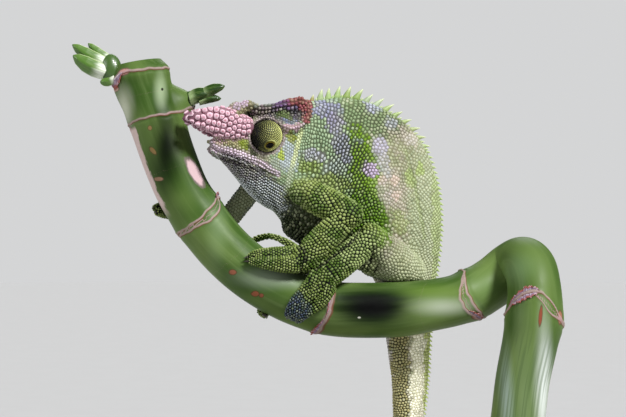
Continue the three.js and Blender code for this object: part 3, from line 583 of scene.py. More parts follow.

# ---------------------------------------------------------------- skin
# The animal's whole skin in one piece: thin and folded, soft at the throat and tight on the skull, over the
# head, jaw, trunk, legs and tail. It shows only between the scales, where painted crease shade makes it dark.

COAT = 0.35  # how far the skin lies inside the animal's outline, for the scales to stand on
PELVIS_DEPTH, BEND_START, BEND_SLOPE, BEND_GROWTH = 16, 25, 0.215, 0.0018
BODY = [  # back x, z; belly x, z; half width; wider to the belly; squareness of the back
    (-38.3, 144.9, -38.3, 143.2, 1.2, 0, 1), (-37.0, 146.3, -36.8, 141.2, 3.0, 0, 0.9),
    (-34.4, 148.6, -34.1, 138.4, 4.3, 0, 0.7), (-31.0, 152.0, -30.6, 134.4, 5.4, 0, 0.55),
    (-27.2, 155.2, -26.9, 129.6, 6.3, 0, 0.42), (-23.4, 156.0, -23.4, 125.8, 7.0, 0, 0.4),
    (-19.3, 157.2, -20.2, 123.8, 7.4, 0, 0.4), (-15.1, 158.6, -17.4, 121.7, 7.6, 0, 0.45),
    (-11.0, 159.5, -15.5, 119.3, 7.8, 0.05, 0.55), (-7.2, 158.8, -14.8, 117.4, 8.2, 0.15, 0.7),
    (-2.8, 159.0, -14.4, 116.0, 8.8, 0.25, 0.9), (2.5, 160.0, -13.6, 114.9, 9.5, 0.3, 1),
    (8.9, 159.6, -11.6, 113.3, 10.2, 0.35, 1), (17.5, 156.4, -7.7, 111.1, 10.8, 0.35, 1),
    (24.8, 151.8, -3.2, 109.0, 11.2, 0.35, 1), (30.1, 146.0, 1.4, 107.3, 11.3, 0.35, 1),
    (33.7, 138.6, 6.0, 105.9, 11.2, 0.35, 1), (36.0, 129.8, 10.3, 104.2, 10.7, 0.3, 1),
    (36.8, 120.9, 13.5, 101.6, 9.8, 0.25, 1), (36.5, 112.3, 15.5, 98.0, 8.7, 0.2, 1),
    (35.5, 103.5, 16.7, 93.7, 7.6, 0.15, 1), (34.4, 93.6, 17.5, 88.1, 6.8, 0.1, 1),
    (33.5, 84.0, 17.9, 83.6, 6.3, 0, 1),
]
MOUTH = [
    (-39.6, 143.8), (-38.2, 143.8), (-36, 142.0), (-33.4, 141), (-27.7, 138.9), (-24.2, 137.7),
    (-21.6, 135.7), (-18, 134.2), (-15.5, 133.4),
]
BROW_RIDGE = [  # x, z, distance from the midline, thickness of the bead
    (-35.8, 147.0, 2.8, 0.8), (-32.0, 151.4, 4.4, 1.2), (-28.6, 156.4, 4.8, 1.7),
    (-24.0, 155.2, 5.3, 1.1), (-17.0, 156.6, 5.6, 1.1), (-9.4, 157.6, 4.0, 1.2),
]
TEMPLE_RIDGE = [
    (-18.4, 150.4, 6.8, 0.9), (-14.6, 149.2, 7.4, 1.2), (-10.8, 151.0, 7.2, 1.2),
    (-8.0, 155.4, 4.8, 1.2),
]
FLANK_FOLDS = [  # shallow pleats that run down the flank, beside the back: x, z
    [(23.0, 146.2), (25.3, 141.8), (26.6, 136), (27.8, 130.3), (29.1, 124.8), (30.4, 118.4), (31.1, 112)],
    [(19.8, 142.4), (22.4, 136), (23.7, 129.6), (25, 121.6), (26, 113.6)],
    [(13.6, 104.4), (16.5, 110), (18.6, 115), (20.4, 119)],
]
# Deep folds at the wrist, at the knee and where shank and forearm touch: x, z of both ends,
# half width, depth
# each fold also carries a painted shadow line along it on the near side
CREASES = [
    (-9.6, 113.9, -9.2, 103.4, 0.45, 0.55), (-8.3, 112.3, -7.9, 107.0, 0.35, 0.4),
    (13.7, 111.6, 12.9, 108.0, 0.4, 0.4), (12.9, 108.0, 11.9, 104.0, 0.5, 0.6),
    (11.0, 106.8, 9.8, 103.2, 0.4, 0.4), (15.2, 105.4, 13.8, 103.0, 0.4, 0.4),
    (10.3, 118.0, 7.2, 113.1, 0.4, 0.6), (7.2, 113.1, 0.3, 108.0, 0.45, 0.8),
    (0.3, 108.0, -4.6, 104.2, 0.45, 0.8),
]
EYE = {"x": -22.4, "z": 146.7, "side": 6.1, "radius": 5.1, "rim": 5.6, "sink": 0.6}
TAIL = [  # x, z, half depth, half width
    (25.7, 83.5, 7.75, 6.3), (26.1, 76, 6.9, 5.8), (26.4, 68.9, 6.2, 5.2), (26.2, 61, 5.6, 4.8),
    (25.8, 53, 5.0, 4.3), (25.4, 45, 4.5, 3.9), (25.1, 37, 4.0, 3.5),
]
COIL = {
    "x": 12.4, "z": 28, "radius": 12.6, "pitch": 6.9, "turns": 1.6, "root": 3.5, "tip": 0.5, "narrow": 0.9,
}
# Joints as x, y, z and half thickness; how many toes each bundle binds; the bundles' rows as
# x on the stem, turn round it, lift off it, half sizes
LEGS = {
    "foreleg_left": {
        "root": (-8.6, 0, 129.0, 5.2), "bend": (6.0, -7.2, 121.9, 4.5),
        "end": (-8.6, -6.3, 107.6, 4.4), "bulge": (0.3, 0.5), "bound": (2, 1),
        "toes": [
            [(-14.4, 66, 5.2, 4.5, 3.9), (-17.6, 57, 4.0, 4.6, 3.6), (-20.9, 48, 3.1, 4.3, 3.0),
             (-24.0, 38, 2.3, 3.6, 2.4), (-26.2, 28, 1.7, 2.7, 1.9), (-27.4, 18, 1.3, 1.6, 1.4)],
            [(-17.0, 78, 5.4, 2.2, 2.0), (-22.2, 86, 5.6, 1.4, 1.3), (-27.4, 103, 4.3, 1.2, 1.1),
             (-30.4, 126, 2.2, 1.2, 1.1), (-31.4, 150, 1.3, 1.1, 1.0), (-31.4, 172, 1.0, 0.7, 0.7)],
        ],
    },
    "foreleg_right": {
        "root": (-10, 11.5, 129, 5.0), "bend": (-20.8, 17.4, 136.2, 4.2),
        "end": (-33.6, 11.4, 119.6, 3.5), "bulge": (0.3, 0.1), "bound": (2, 3),
        "toes": [
            [(-37.6, 147, 3.2, 3.2, 3.0), (-40.5, 166, 2.2, 3.0, 2.4), (-43.3, 186, 2.0, 2.9, 2.2),
             (-45.2, 208, 2.2, 2.9, 2.3), (-46.4, 234, 2.2, 2.7, 2.2), (-46.8, 262, 2.0, 1.8, 1.7)],
            [(-37.6, 150, 3.0, 3.0, 2.6), (-35.4, 166, 2.2, 2.6, 2.1), (-34.0, 186, 1.8, 2.2, 1.7),
             (-33.4, 210, 1.5, 1.8, 1.5), (-33.4, 232, 1.1, 0.9, 0.9)],
        ],
    },
    "hindleg_left": {
        "root": (24.4, 8.5, 102.2, 7.4), "bend": (12.8, -3.4, 114.0, 5.1),
        "end": (-2.9, -8.2, 101.2, 4.4), "bulge": (0.6, 0.3), "bound": (3, 2),
        "toes": [
            [(-4.4, 44, 3.4, 5.0, 3.9), (-5.8, 24, 2.6, 5.1, 3.1), (-7.8, 4, 2.1, 4.7, 2.5),
             (-9.2, -14, 1.9, 3.9, 2.1), (-9.7, -28, 1.7, 3.4, 1.7), (-9.8, -38, 1.2, 2.7, 1.0)],
            [(-4.2, 56, 4.4, 2.8, 2.5), (-4.4, 80, 3.2, 2.5, 2.1), (-4.8, 105, 2.2, 2.2, 1.8),
             (-5.2, 130, 1.8, 2.0, 1.6), (-5.6, 155, 1.5, 1.6, 1.3), (-5.8, 175, 1.1, 0.9, 0.9)],
        ],
    },
    "hindleg_right": {
        "root": (25.2, 23.5, 101.0, 7.2), "bend": (12.8, 27.4, 112.6, 5.0),
        "end": (-8.8, 14.8, 104.2, 4.2), "bulge": (0.6, 0.3), "bound": (3, 2),
        "toes": [
            [(-13.4, 148, 6.4, 3.8, 3.5), (-15.2, 168, 4.2, 3.6, 3.0), (-16.8, 190, 2.5, 3.2, 2.4),
             (-17.4, 215, 1.7, 2.7, 2.0), (-17.2, 240, 1.2, 2.2, 1.5), (-16.8, 262, 0.8, 1.6, 1.1),
             (-16.4, 277, 0.5, 0.9, 0.8)],
            [(-13.2, 142, 5.2, 3.0, 2.8), (-12.9, 127, 2.8, 2.6, 2.1), (-12.8, 112, 1.8, 1.9, 1.6),
             (-12.8, 98, 1.2, 1.0, 1.0)],
        ],
    },
}


def depth_at(x):
    ahead = np.maximum(BEND_START - x, 0)
    return PELVIS_DEPTH - BEND_SLOPE * ahead - BEND_GROWTH * ahead * ahead


def right_at(x):
    """Direction from the body's bent middle plane to the animal's right side."""
    ahead = np.maximum(BEND_START - np.asarray(x, float), 0)
    slope = np.where(ahead > 0, BEND_SLOPE + 2 * BEND_GROWTH * ahead, 0)
    return unit(np.stack([-slope, np.ones_like(slope), np.zeros_like(slope)], axis=-1))


def body_point(x, z, right):
    x, z, right = np.broadcast_arrays(np.asarray(x, float), z, right)
    return np.stack([x, depth_at(x), z], axis=-1) + right_at(x) * right[..., None]


def body_surface(t, turn):
    rows = np.moveaxis(along(BODY, t), -1, 0)
    back_x, back_z, belly_x, belly_z, half_width, bellied, square = rows
    height = np.hypot(back_x - belly_x, back_z - belly_z)
    up = np.cos(turn) * (1 - 2 * COAT / np.maximum(height, 2 * COAT + 0.6)) / 2
    x = (back_x + belly_x) / 2 + (back_x - belly_x) * up
    z = (back_z + belly_z) / 2 + (back_z - belly_z) * up
    sweep = np.abs(np.sin(turn)) ** np.where(np.cos(turn) > 0, square, 1)
    outward = np.sign(np.sin(turn)) * sweep * (1 - bellied * np.cos(turn))
    return body_point(x, z, outward * (half_width - COAT))


def tail_rows():
    rows = [(x, depth_at(x), z, deep, wide) for x, z, deep, wide in TAIL]
    steps = round(COIL["turns"] * 16)
    for i in range(steps + 1):
        wound = i / steps * COIL["turns"]
        radius = COIL["radius"] - COIL["pitch"] * wound
        angle = -2 * np.pi * wound
        half = COIL["root"] + (COIL["tip"] - COIL["root"]) * (i / steps) ** 0.9
        x, z = COIL["x"] + radius * np.cos(angle), COIL["z"] + radius * np.sin(angle)
        rows.append((x, PELVIS_DEPTH, z, half, half * COIL["narrow"]))
    return rows


def limb_surface(start, end, bulge):
    """Surface of a limb between two joints, round at both ends and fuller in the middle."""
    start, end = np.array(start, float), np.array(end, float)
    run = np.linalg.norm(end[:3] - start[:3])
    ahead = unit(end[:3] - start[:3])
    out = unit(np.array([0, -1, 0]) - ahead * -ahead[1])
    across = np.cross(ahead, out)

    def at(t, turn):
        first, last = start[3] - COAT, end[3] - COAT
        place = -first + t * (run + first + last)
        middle = np.clip(place / run, 0, 1)
        radius = first + (last - first) * middle + bulge * np.sin(np.pi * middle)
        past = np.maximum(-place, 0) + np.maximum(place - run, 0)
        radius = np.sqrt(np.maximum(radius**2 - past**2, 0.0004))
        spread = out * np.cos(turn)[..., None] + across * np.sin(turn)[..., None]
        return start[:3] + ahead * place[..., None] + spread * radius[..., None]

    return at


def beside_stem(x, turn, lift):
    """A point beside the bamboo, turn degrees round it from its -Y side by way of the top."""
    t = np.linspace(0, 0.62, 3000)
    t = t[np.argmax(along(STEM, t)[:, 0] >= x)]
    ahead = unit(along(STEM, t + 0.002)[:3] - along(STEM, t - 0.002)[:3])
    near = unit(np.array([0, -1, 0]) + ahead * ahead[1])
    up = -np.cross(ahead, near)
    out = near * np.cos(np.radians(turn)) + up * np.sin(np.radians(turn))
    centre = along(STEM, t)
    return centre[:3] + out * (centre[3] + lift), out


def toe_rows(bundle, share, count):
    """Rows and outward directions of one toe of a bundle; share runs from -1 to 1 across."""
    places = [beside_stem(*row[:3]) for row in bundle]
    centres = np.array([point for point, _ in places])
    outs = np.array([out for _, out in places])
    ahead = unit(np.gradient(centres, axis=0))
    across = unit(np.cross(ahead, outs))
    sizes = np.array([row[3:] for row in bundle])
    apart = share * (1 - 1 / count) * 0.92
    centres = centres + across * (sizes[:, :1] * apart)
    wide = sizes[:, 0] * (1.16 / count if count > 1 else 1) - COAT * 0.8
    deep = sizes[:, 1] - COAT - 0.12 * sizes[:, 1] * abs(share)
    return np.column_stack([centres, np.maximum(wide, 0.45), np.maximum(deep, 0.45)]), outs


def tube_form(rows, facing):
    return lambda t, turn: tube_point(rows, t, turn, facing)


forms = []


def add_form(name, surface, piece=None, limb=0.0, stretch=1.0, *pitch):
    """One rounded form of the flesh; with a pitch along it, rows of scales follow it."""
    forms.append({
        "name": name, "surface": surface, "piece": piece, "limb": limb, "stretch": stretch, "pitch": pitch})


BODY_PITCH = (0, 0.7), (0.2, 0.8), (0.4, 0.9), (0.46, 1.2), (0.6, 1.16), (0.68, 1.06), (1, 1.0)
add_form("body", body_surface, "body", 0.0, 1.16, *BODY_PITCH)
tail = np.array(tail_rows())
tail[:, 3:] = np.maximum(tail[:, 3:] - COAT * 0.9, 0.35)
TAIL_PITCH = (0, 0.95), (0.2, 0.85), (0.6, 0.66), (1, 0.48)
add_form("tail", tube_form(tail, (0, 1, 0)), "tail", 0.0, 1.12, *TAIL_PITCH)
GROINS = {  # folds of soft flesh between the thigh and the belly
    "hindleg_left": ((20.5, 6.5, 104.8, 5.8), (11.4, -1.0, 107.0, 4.0)),
    "hindleg_right": ((20.5, 24.5, 104.2, 5.4), (14.2, 26.0, 105.2, 4.4)),
}
claws = []
for name, leg in LEGS.items():
    leg_kind = name.split("_")[0]
    if name in GROINS:
        surface = limb_surface(*GROINS[name], 0.2)
        add_form(name + "_groin", surface, leg_kind, 0.6, 1.1, (0, 1.15), (1, 1.1))
    x, y, z, thick = leg["bend"]
    limbs = {"upper": (leg["root"], leg["bend"], 1.1), "lower": ((x, y, z, thick - 0.6), leg["end"], 1.0)}
    for (part, (start, end, size)), bulge in zip(limbs.items(), leg["bulge"]):
        surface = limb_surface(start, end, bulge)
        add_form(f"{name}_{part}", surface, leg_kind, 1.0, 1.06, (0, size), (1, size))
    for place, (bundle, count) in enumerate(zip(leg["toes"], leg["bound"])):
        for k in range(count):
            share = 0.0 if count == 1 else 2 * k / (count - 1) - 1
            rows, outs = toe_rows(bundle, share, count)
            surface = tube_form(rows, outs)
            add_form(f"{name}_toe_{place}{k}", surface, leg_kind, 1.0, 1.05, (0, 0.92), (0.7, 0.8), (1, 0.62))
            claws.append((rows[-2, :3], rows[-1, :3], outs[-1]))


def bead_surface(rows, side):
    """A rounded bead along a ridge of the head, thin at both ends."""
    places = [[*body_point(x, z, side * out), radius * 0.9] for x, z, out, radius in rows]
    ends = [[*places[0][:3], 0.3], [*places[-1][:3], 0.3]]
    return tube_form(np.array([ends[0], *places, ends[1]]), (0, 0.3, 1))


CHEEK = [  # half width of the head along the mouth: x, half width
    (-38.3, 1.2), (-37, 2.9), (-34.4, 4.1), (-31, 5.2), (-27.2, 6.1), (-23.4, 6.8), (-19.3, 7.2), (-15, 7.4),
]


def lip_rows(lift, out, thick):
    """A bead along the mouth, lifted above it, set out from the cheek."""
    return [(x, z + lift, np.interp(x, *zip(*CHEEK)) * out, thick) for x, z in MOUTH[1:-1]]


def round_eye(side, out, radius, angles):
    """Points in a ring round an eye, out from the middle of the head."""
    level = unit(np.cross(right_at(EYE["x"]), [0, 0, 1]))
    seat = body_point(EYE["x"], EYE["z"], side * out)
    return seat + radius * (level * np.cos(angles)[:, None] + [0, 0, 1] * np.sin(angles)[:, None])


BOTH = ((-1, "left"), (1, "right"))
eyes = {}
for side, name in BOTH:
    eyes[name] = body_point(EYE["x"], EYE["z"], side * EYE["side"])
    hoop = round_eye(side, EYE["side"] - EYE["sink"], EYE["rim"], np.linspace(0, 2 * np.pi, 33))
    add_form(f"rim_{name}", tube_form(np.column_stack([hoop, np.full(33, 0.75)]), right_at(EYE["x"])))
    add_form(f"brow_{name}", bead_surface(BROW_RIDGE, side))
    add_form(f"temple_{name}", bead_surface(TEMPLE_RIDGE, side))
    add_form(f"lip_{name}", bead_surface(lip_rows(1.0, 0.86, 0.85), side))
    add_form(f"jaw_{name}", bead_surface(lip_rows(-1.2, 0.84, 0.7), side))

MELT_SIZE, SMOOTHING, STEM_GAP = 0.42, 8, 0.35
mesh = bpy.data.meshes.new("flesh")
t, turn = spans(181, 72)
points, faces = joined([form["surface"](t, turn) for form in forms])
mesh.from_pydata(points, [], faces)
flesh = bpy.data.objects.new("flesh", mesh)
bpy.context.scene.collection.objects.link(flesh)
melt = flesh.modifiers.new("melt", "REMESH")
melt.mode = "VOXEL"
melt.voxel_size = MELT_SIZE
whole = flesh.evaluated_get(bpy.context.evaluated_depsgraph_get()).to_mesh()
points = np.empty(3 * len(whole.vertices))
whole.vertices.foreach_get("co", points)
points = points.reshape(-1, 3)
corners = np.empty(len(whole.loops), int)
whole.loops.foreach_get("vertex_index", corners)
quads = corners.reshape(-1, 4)
bpy.data.objects.remove(flesh)
bpy.data.meshes.remove(mesh)


def eased(points, quads, rounds, keep=None):
    """Points of a mesh after each has moved part of the way to the middle of its neighbours."""
    edges = np.concatenate([quads[:, [0, 1]], quads[:, [1, 2]], quads[:, [2, 3]], quads[:, [3, 0]]])
    count = np.bincount(edges[:, 0], minlength=len(points))[:, None]
    for step in range(rounds):
        middle = np.stack([
            np.bincount(edges[:, 0], points[edges[:, 1], axis], len(points)) for axis in range(3)], axis=-1)
        pull = (0.6 if step % 2 == 0 else -0.56) if keep is None else keep
        points = points + pull * (middle / count - points)
    return points


def normals_of(points, quads):
    a, b, c, d = (points[quads[:, k]] for k in range(4))
    across = np.cross(c - a, d - b)
    out = np.stack([
        sum(np.bincount(quads[:, k], across[:, axis], len(points)) for k in range(4)) for axis in range(3)],
        axis=-1)
    return unit(out)


def line_distance(points, line):
    """Distance from points to a broken line, both in x and z, and the way along it."""
    best = np.full(len(points), 99.0)
    way = np.zeros(len(points))
    for i, (a, b) in enumerate(zip(np.array(line[:-1]), np.array(line[1:]))):
        share = np.clip(((points - a) @ (b - a)) / ((b - a) @ (b - a)), 0, 1)
        away = np.linalg.norm(points - a - share[:, None] * (b - a), axis=-1)
        way = np.where(away < best, i + share, way)
        best = np.minimum(best, away)
    return best, way


def bump_near(points, centre, reach):
    """1 at a centre, falling smoothly to 0 at the reach given for x, y and z."""
    away = np.linalg.norm((points - np.array(centre)) / np.array(reach), axis=-1)
    return np.clip(1 - away**2, 0, 1) ** 2


points = eased(points, quads, SMOOTHING)
out = normals_of(points, quads)


def press(depth):
    """Push the skin in by a depth at each of its points."""
    global points
    points = points - out * depth[:, None]


# folds: the mouth's slit, hollows of the head, pleats of the throat, flank, legs and neck
HOLLOWS = [  # of the temple, before the eye and of the cheek: x, z, out, reach, depth
    (-13.2, 154.2, 6.4, (4.6, 4, 2.4), 1.3), (-27.6, 153.2, 5.0, (2.6, 4, 2.0), 1.2),
    (-28.6, 147.0, 6.0, (3, 3, 3), 0.3),
]
slit, way = line_distance(points[:, [0, 2]], MOUTH)
is_head = (points[:, 0] < -14) & (points[:, 2] > 128) & (points[:, 1] < 14)
press(0.9 * (np.exp(-((slit / 0.5) ** 2)) * is_head * np.clip(len(MOUTH) - 1 - way, 0, 1)))
for side, _ in BOTH:
    for x, z, aside, reach, deep in HOLLOWS:
        press(deep * bump_near(points, body_point(x, z, side * aside), reach))
throat = bump_near(points, (-16, 4, 124), (14, 18, 14))
press(0.16 * throat * (1 + np.sin((points[:, 0] * 0.75 + points[:, 2] * 0.55) * 3.3)))
for fold in FLANK_FOLDS:
    off, way = line_distance(points[:, [0, 2]], fold)
    faded = np.sin(np.pi * np.clip(way / (len(fold) - 1), 0, 1)) ** 0.5
    press(0.32 * faded * np.exp(-((off / 0.55) ** 2)))
for x, z, to_x, to_z, wide, deep in CREASES:
    off, way = line_distance(points[:, [0, 2]], [(x, z), (to_x, to_z)])
    press(deep * (points[:, 1] < 3) * np.exp(-((off / wide) ** 2)))
neck = bump_near(points, (-10, 4, 122), (7, 18, 14))
off = points[:, 0] + 12.4 - (120 - points[:, 2]) * 0.12
press(0.45 * neck * np.exp(-(off**2)))
# sockets: a cup behind each eye, and a flat where the flesh presses on the bamboo
for side, name in BOTH:
    away = points - eyes[name]
    right = right_at(EYE["x"]) * side
    inward = away @ right
    off = np.linalg.norm(away - inward[:, None] * right, axis=-1)
    cup = -np.sqrt(np.maximum((EYE["radius"] + 0.1) ** 2 - off**2, 0))
    inside = (off < EYE["radius"] + 0.1) & (inward > cup) & (np.abs(inward) < 8)
    points = np.where(inside[:, None], points + (cup - inward)[:, None] * right, points)


def finder_of(points):
    """A finder of the nearest of some points."""
    tree = kdtree.KDTree(len(points))
    for i, point in enumerate(points):
        tree.insert(point, i)
    tree.balance()
    return tree


stem_axis = along(STEM, np.linspace(0, 1, 900))
finder = finder_of(stem_axis[:, :3])
nearest = np.array([finder.find(point)[1] for point in points])
from_axis = points - stem_axis[nearest, :3]
clear = stem_axis[nearest, 3] + STEM_GAP
off = np.linalg.norm(from_axis, axis=-1)
pressed = stem_axis[nearest, :3] + from_axis * (clear / off)[:, None]
points = np.where((off < clear)[:, None], pressed, points)
points = eased(points, quads, 1, 0.25)
skin_points, skin_out = points, normals_of(points, quads)

# ---------------------------------------------------------------- scales
# Thousands of small, solid, domed scales that stand on the skin in staggered rows, each cut
# to its neighbours: round on the legs, tall on the flanks, large knobs on the crest.

rng = np.random.default_rng(11)
skin_tree = BVHTree.FromPolygons(skin_points.tolist(), quads.tolist())
scaled = [form for form in forms if form["pitch"]]


def lattice(form):
    """Roots in staggered rows round a form: way along it, turn, and size."""
    t = np.linspace(0, 1, 301)
    turns = np.linspace(0, 2 * np.pi, 129)
    size = np.interp(t, *zip(*form["pitch"]))
    grid = form["surface"](t[:, None], turns[None, :])
    advance = np.linalg.norm(np.diff(grid, axis=0), axis=-1)
    advance = np.percentile(advance, 70, axis=1) / size[1:]
    total = np.concatenate([[0], np.cumsum(advance)])
    ts, around, sizes = [], [], []
    for row in range(int(total[-1])):
        at = np.interp(row + 0.5, total, t)
        here = np.interp(at, t, size)
        ring = form["surface"](np.full(129, at), turns)
        arc = np.concatenate([[0], np.cumsum(np.linalg.norm(np.diff(ring, axis=0), axis=-1))])
        count = max(int(round(arc[-1] / (here * form["stretch"]))), 3)
        spots = (np.arange(count) + 0.5 * (row % 2)) / count * arc[-1]
        ts += [at] * count
        around += np.interp(spots, arc, turns).tolist()
        sizes += [here] * count
    return np.array(ts), np.array(around), np.array(sizes)


def slopes(surface, ts, around, step=0.004, turned=0.02):
    """Short steps over a surface, one ahead along it and one round it."""
    ahead = surface(np.minimum(ts + step, 1), around) - surface(np.maximum(ts - step, 0), around)
    return ahead, surface(ts, around + turned) - surface(ts, around - turned)


def in_rows(number, form):
    """Roots of the scales on one form, with the directions round it and along it."""
    surface = form["surface"]
    ts, around, sizes = lattice(form)
    ahead, round_it = slopes(surface, ts, around)
    return {
        "point": surface(ts, around), "grain": unit(round_it), "size": sizes, "t": ts, "turn": around,
        "form": np.full(len(ts), number), "stretch": np.full(len(ts), form["stretch"]),
        "per_turn": 0.04 / np.maximum(np.linalg.norm(round_it, axis=-1), 1e-3),
        "per_t": 0.008 / np.maximum(np.linalg.norm(ahead, axis=-1), 1e-3),
    }


found = [in_rows(number, form) for number, form in enumerate(scaled)]
found = {key: np.concatenate([rows[key] for rows in found]) for key in found[0]}


def on_skin(points, reach):
    """Each point's nearest place on the skin, the direction out there, and if it is near."""
    places, outs, near = np.array(points, float), np.zeros((len(points), 3)), np.zeros(len(points), bool)
    for i, point in enumerate(points):
        place, out, _, away = skin_tree.find_nearest(Vector(point), reach)
        if place is not None:
            places[i], outs[i], near[i] = place, out, True
    return places, outs, near


ROW_REACH, MARK_REACH, PUSH_REACH = 0.75, 2.0, 3.0  # how far the skin may be from where a root is laid
places, outs, near = on_skin(found["point"], ROW_REACH)
found["point"], found["out"] = places, outs
found = {key: value[near] for key, value in found.items()}


# marked scales: rows beside the mouth, round the eyes and along the ridges of the head
LIP_SCALES = ((0.8, 0.9, 1.1, 27), (1.6, 0.9, 1.3, 27), (-0.9, 0.85, 0.9, 29))  # lift, size, height, count
EYE_SCALES = ((5.75, 44), (6.5, 42))  # radius, count
RIDGE_SCALES = ((BROW_RIDGE, 1.1, 32), (TEMPLE_RIDGE, 1.05, 15))  # ridge, size, count
marked, marked_size, marked_lift = [], [], []


def mark(points, size, tall):
    """Add a row of marked scales."""
    marked.extend(points.tolist())
    marked_size.extend([size] * len(points))
    marked_lift.extend([tall] * len(points))


for side, name in BOTH:
    for lift, size, tall, count in LIP_SCALES:
        row = along(lip_rows(lift, 1.0, 1), np.linspace(0, 1, count))
        mark(body_point(row[:, 0], row[:, 1], side * row[:, 2]), size, tall)
    for radius, count in EYE_SCALES:
        turns = np.linspace(0, 2 * np.pi, count, endpoint=False)
        mark(round_eye(side, EYE["side"] - 0.2, radius, turns), 0.8, 1.1)
    for ridge, size, count in RIDGE_SCALES:
        row = along(ridge, np.linspace(0, 1, count))
        for lift in (0.0, 0.9, -0.9):
            aside = row[:, 2] + 0.7 - 0.5 * abs(lift)
            mark(body_point(row[:, 0], row[:, 1] + lift, side * aside), size, 1.7)
marked = np.array(marked)
places, outs, near = on_skin(marked, MARK_REACH)
marked, marked_out = places[near], outs[near]
marked_size, marked_lift = np.array(marked_size)[near], np.array(marked_lift)[near]

# spare roots all over the skin fill what the rows leave open
a, b, c, d = (skin_points[quads[:, k]] for k in range(4))
area = np.linalg.norm(np.cross(c - a, d - b), axis=-1) / 2
SPARE = 70000
pick = rng.choice(len(quads), SPARE, p=area / area.sum())
u, v = rng.random((SPARE, 1)), rng.random((SPARE, 1))
spare = (a[pick] * (1 - u) + b[pick] * u) * (1 - v) + (d[pick] * (1 - u) + c[pick] * u) * v
spare_out = unit(np.cross(c[pick] - a[pick], d[pick] - b[pick]))
rows_finder = finder_of(found["point"])


def flat_on(grain, outs):
    """Directions of the grain, laid flat across the directions out."""
    return unit(grain - outs * (grain * outs).sum(-1, keepdims=True))


def borrowed(points, outs):
    """What the nearest root of a row says, carried over to new roots beside it."""
    nearest = np.array([rows_finder.find(point)[1] for point in points])
    away = points - found["point"][nearest]
    grain = found["grain"][nearest]
    ahead = np.cross(grain, found["out"][nearest])
    lent = {key: found[key][nearest] for key in ("form", "size", "stretch", "per_turn", "per_t")}
    lent["turn"] = found["turn"][nearest] + (away * grain).sum(-1) * lent["per_turn"]
    lent["t"] = found["t"][nearest] + (away * ahead).sum(-1) * lent["per_t"]
    lent["grain"] = flat_on(grain, outs)
    lent["point"], lent["out"] = points, outs
    return lent


marked_roots = borrowed(marked, marked_out)
marked_roots["size"] = marked_size
marked_roots["stretch"] = np.ones(len(marked))
spare_roots = borrowed(spare, spare_out)
roots = {key: np.concatenate([marked_roots[key], found[key], spare_roots[key]]) for key in marked_roots}
roots["tall"] = np.concatenate([marked_lift, np.ones(len(roots["size"]) - len(marked))])
roots["keep"] = np.concatenate([
    np.full(len(marked), 0.8), np.full(len(found["t"]), 0.78), np.full(len(spare), 0.9)])


def near_eye(points):
    return np.maximum(*(bump_near(points, eyes[name], (8.5, 8.5, 8.5)) for name in eyes))


small = np.minimum(near_eye(roots["point"]) * 2, 1) * (roots["tall"] == 1)
roots["size"] = roots["size"] * (1 - 0.25 * small)


def thinned(points, reach):
    """Which points stay when each in turn drives off the later ones within its reach."""
    tree = finder_of(points)
    gone = np.zeros(len(points), bool)
    for i, point in enumerate(points):
        if not gone[i]:
            for _, j, _ in tree.find_range(point, reach[i]):
                if j > i:
                    gone[j] = True
    return ~gone


stay = thinned(roots["point"], roots["size"] * roots["keep"])
roots = {key: value[stay] for key, value in roots.items()}
roots["grain"] = flat_on(roots["grain"], roots["out"])
x, z = roots["point"][:, 0], roots["point"][:, 2]
sway_x, sway_z = np.sin(0.9 * z + 1.6 * np.sin(0.45 * x)), np.sin(1.1 * x + 1.7 * np.sin(0.6 * z))
sway = np.stack([sway_x, 0 * x, sway_z], axis=-1)
roots["point"] = roots["point"] + 0.36 * np.clip((x + 13) / 5, 0, 1)[:, None] * sway


def neighbours(points, count):
    """Numbers of the points nearest to each point, without itself."""
    tree = finder_of(points)
    return np.array([[j for _, j, _ in tree.find_n(point, count + 1)][1:] for point in points])


for _ in range(2):
    near = neighbours(roots["point"], 7)
    away = roots["point"][:, None] - roots["point"][near]
    apart = np.linalg.norm(away, axis=-1, keepdims=True)
    push = np.maximum(roots["size"][:, None, None] * 1.02 - apart, 0) * away / np.maximum(apart, 1e-6)
    places, outs, _ = on_skin(roots["point"] + 0.3 * push.sum(axis=1), PUSH_REACH)
    roots["point"] = places
    roots["out"] = unit(outs * 0.6 + roots["out"] * 0.4)

SIDES = 7  # corners of each scale
CORNERS = np.linspace(0, 2 * np.pi, SIDES, endpoint=False)
SHOULDER, SUNK = 0.72, 0.2  # how high a scale's shoulder is in its height; its foot's depth
WIDE = 9  # further than any scale reaches


def fitted(roots):
    """How far each scale reaches towards each of its corners, cut to its neighbours."""
    near = neighbours(roots["point"], 10)
    away = roots["point"][near] - roots["point"][:, None]
    across = np.cross(roots["out"], roots["grain"])
    x = (away * roots["grain"][:, None]).sum(-1) / roots["stretch"][:, None]
    y = (away * across[:, None]).sum(-1) / roots["narrow"][:, None]
    facing = (roots["out"][near] * roots["out"][:, None]).sum(-1)
    apart = np.hypot(x, y)
    weight = roots["weight"]
    half = np.where(facing > 0.1, apart * weight[:, None] / (weight[:, None] + weight[near]), WIDE)
    cosine = x[..., None] * np.cos(CORNERS) + y[..., None] * np.sin(CORNERS)
    cosine = cosine / np.maximum(apart[..., None], 1e-6)
    span = np.where(cosine > 0.05, half[..., None] / np.maximum(cosine, 0.05), WIDE)
    span = np.minimum(span.min(axis=1), roots["full"][:, None] * roots["size"][:, None])
    return np.maximum(span * roots["fill"][:, None] - 0.03, 0.12)


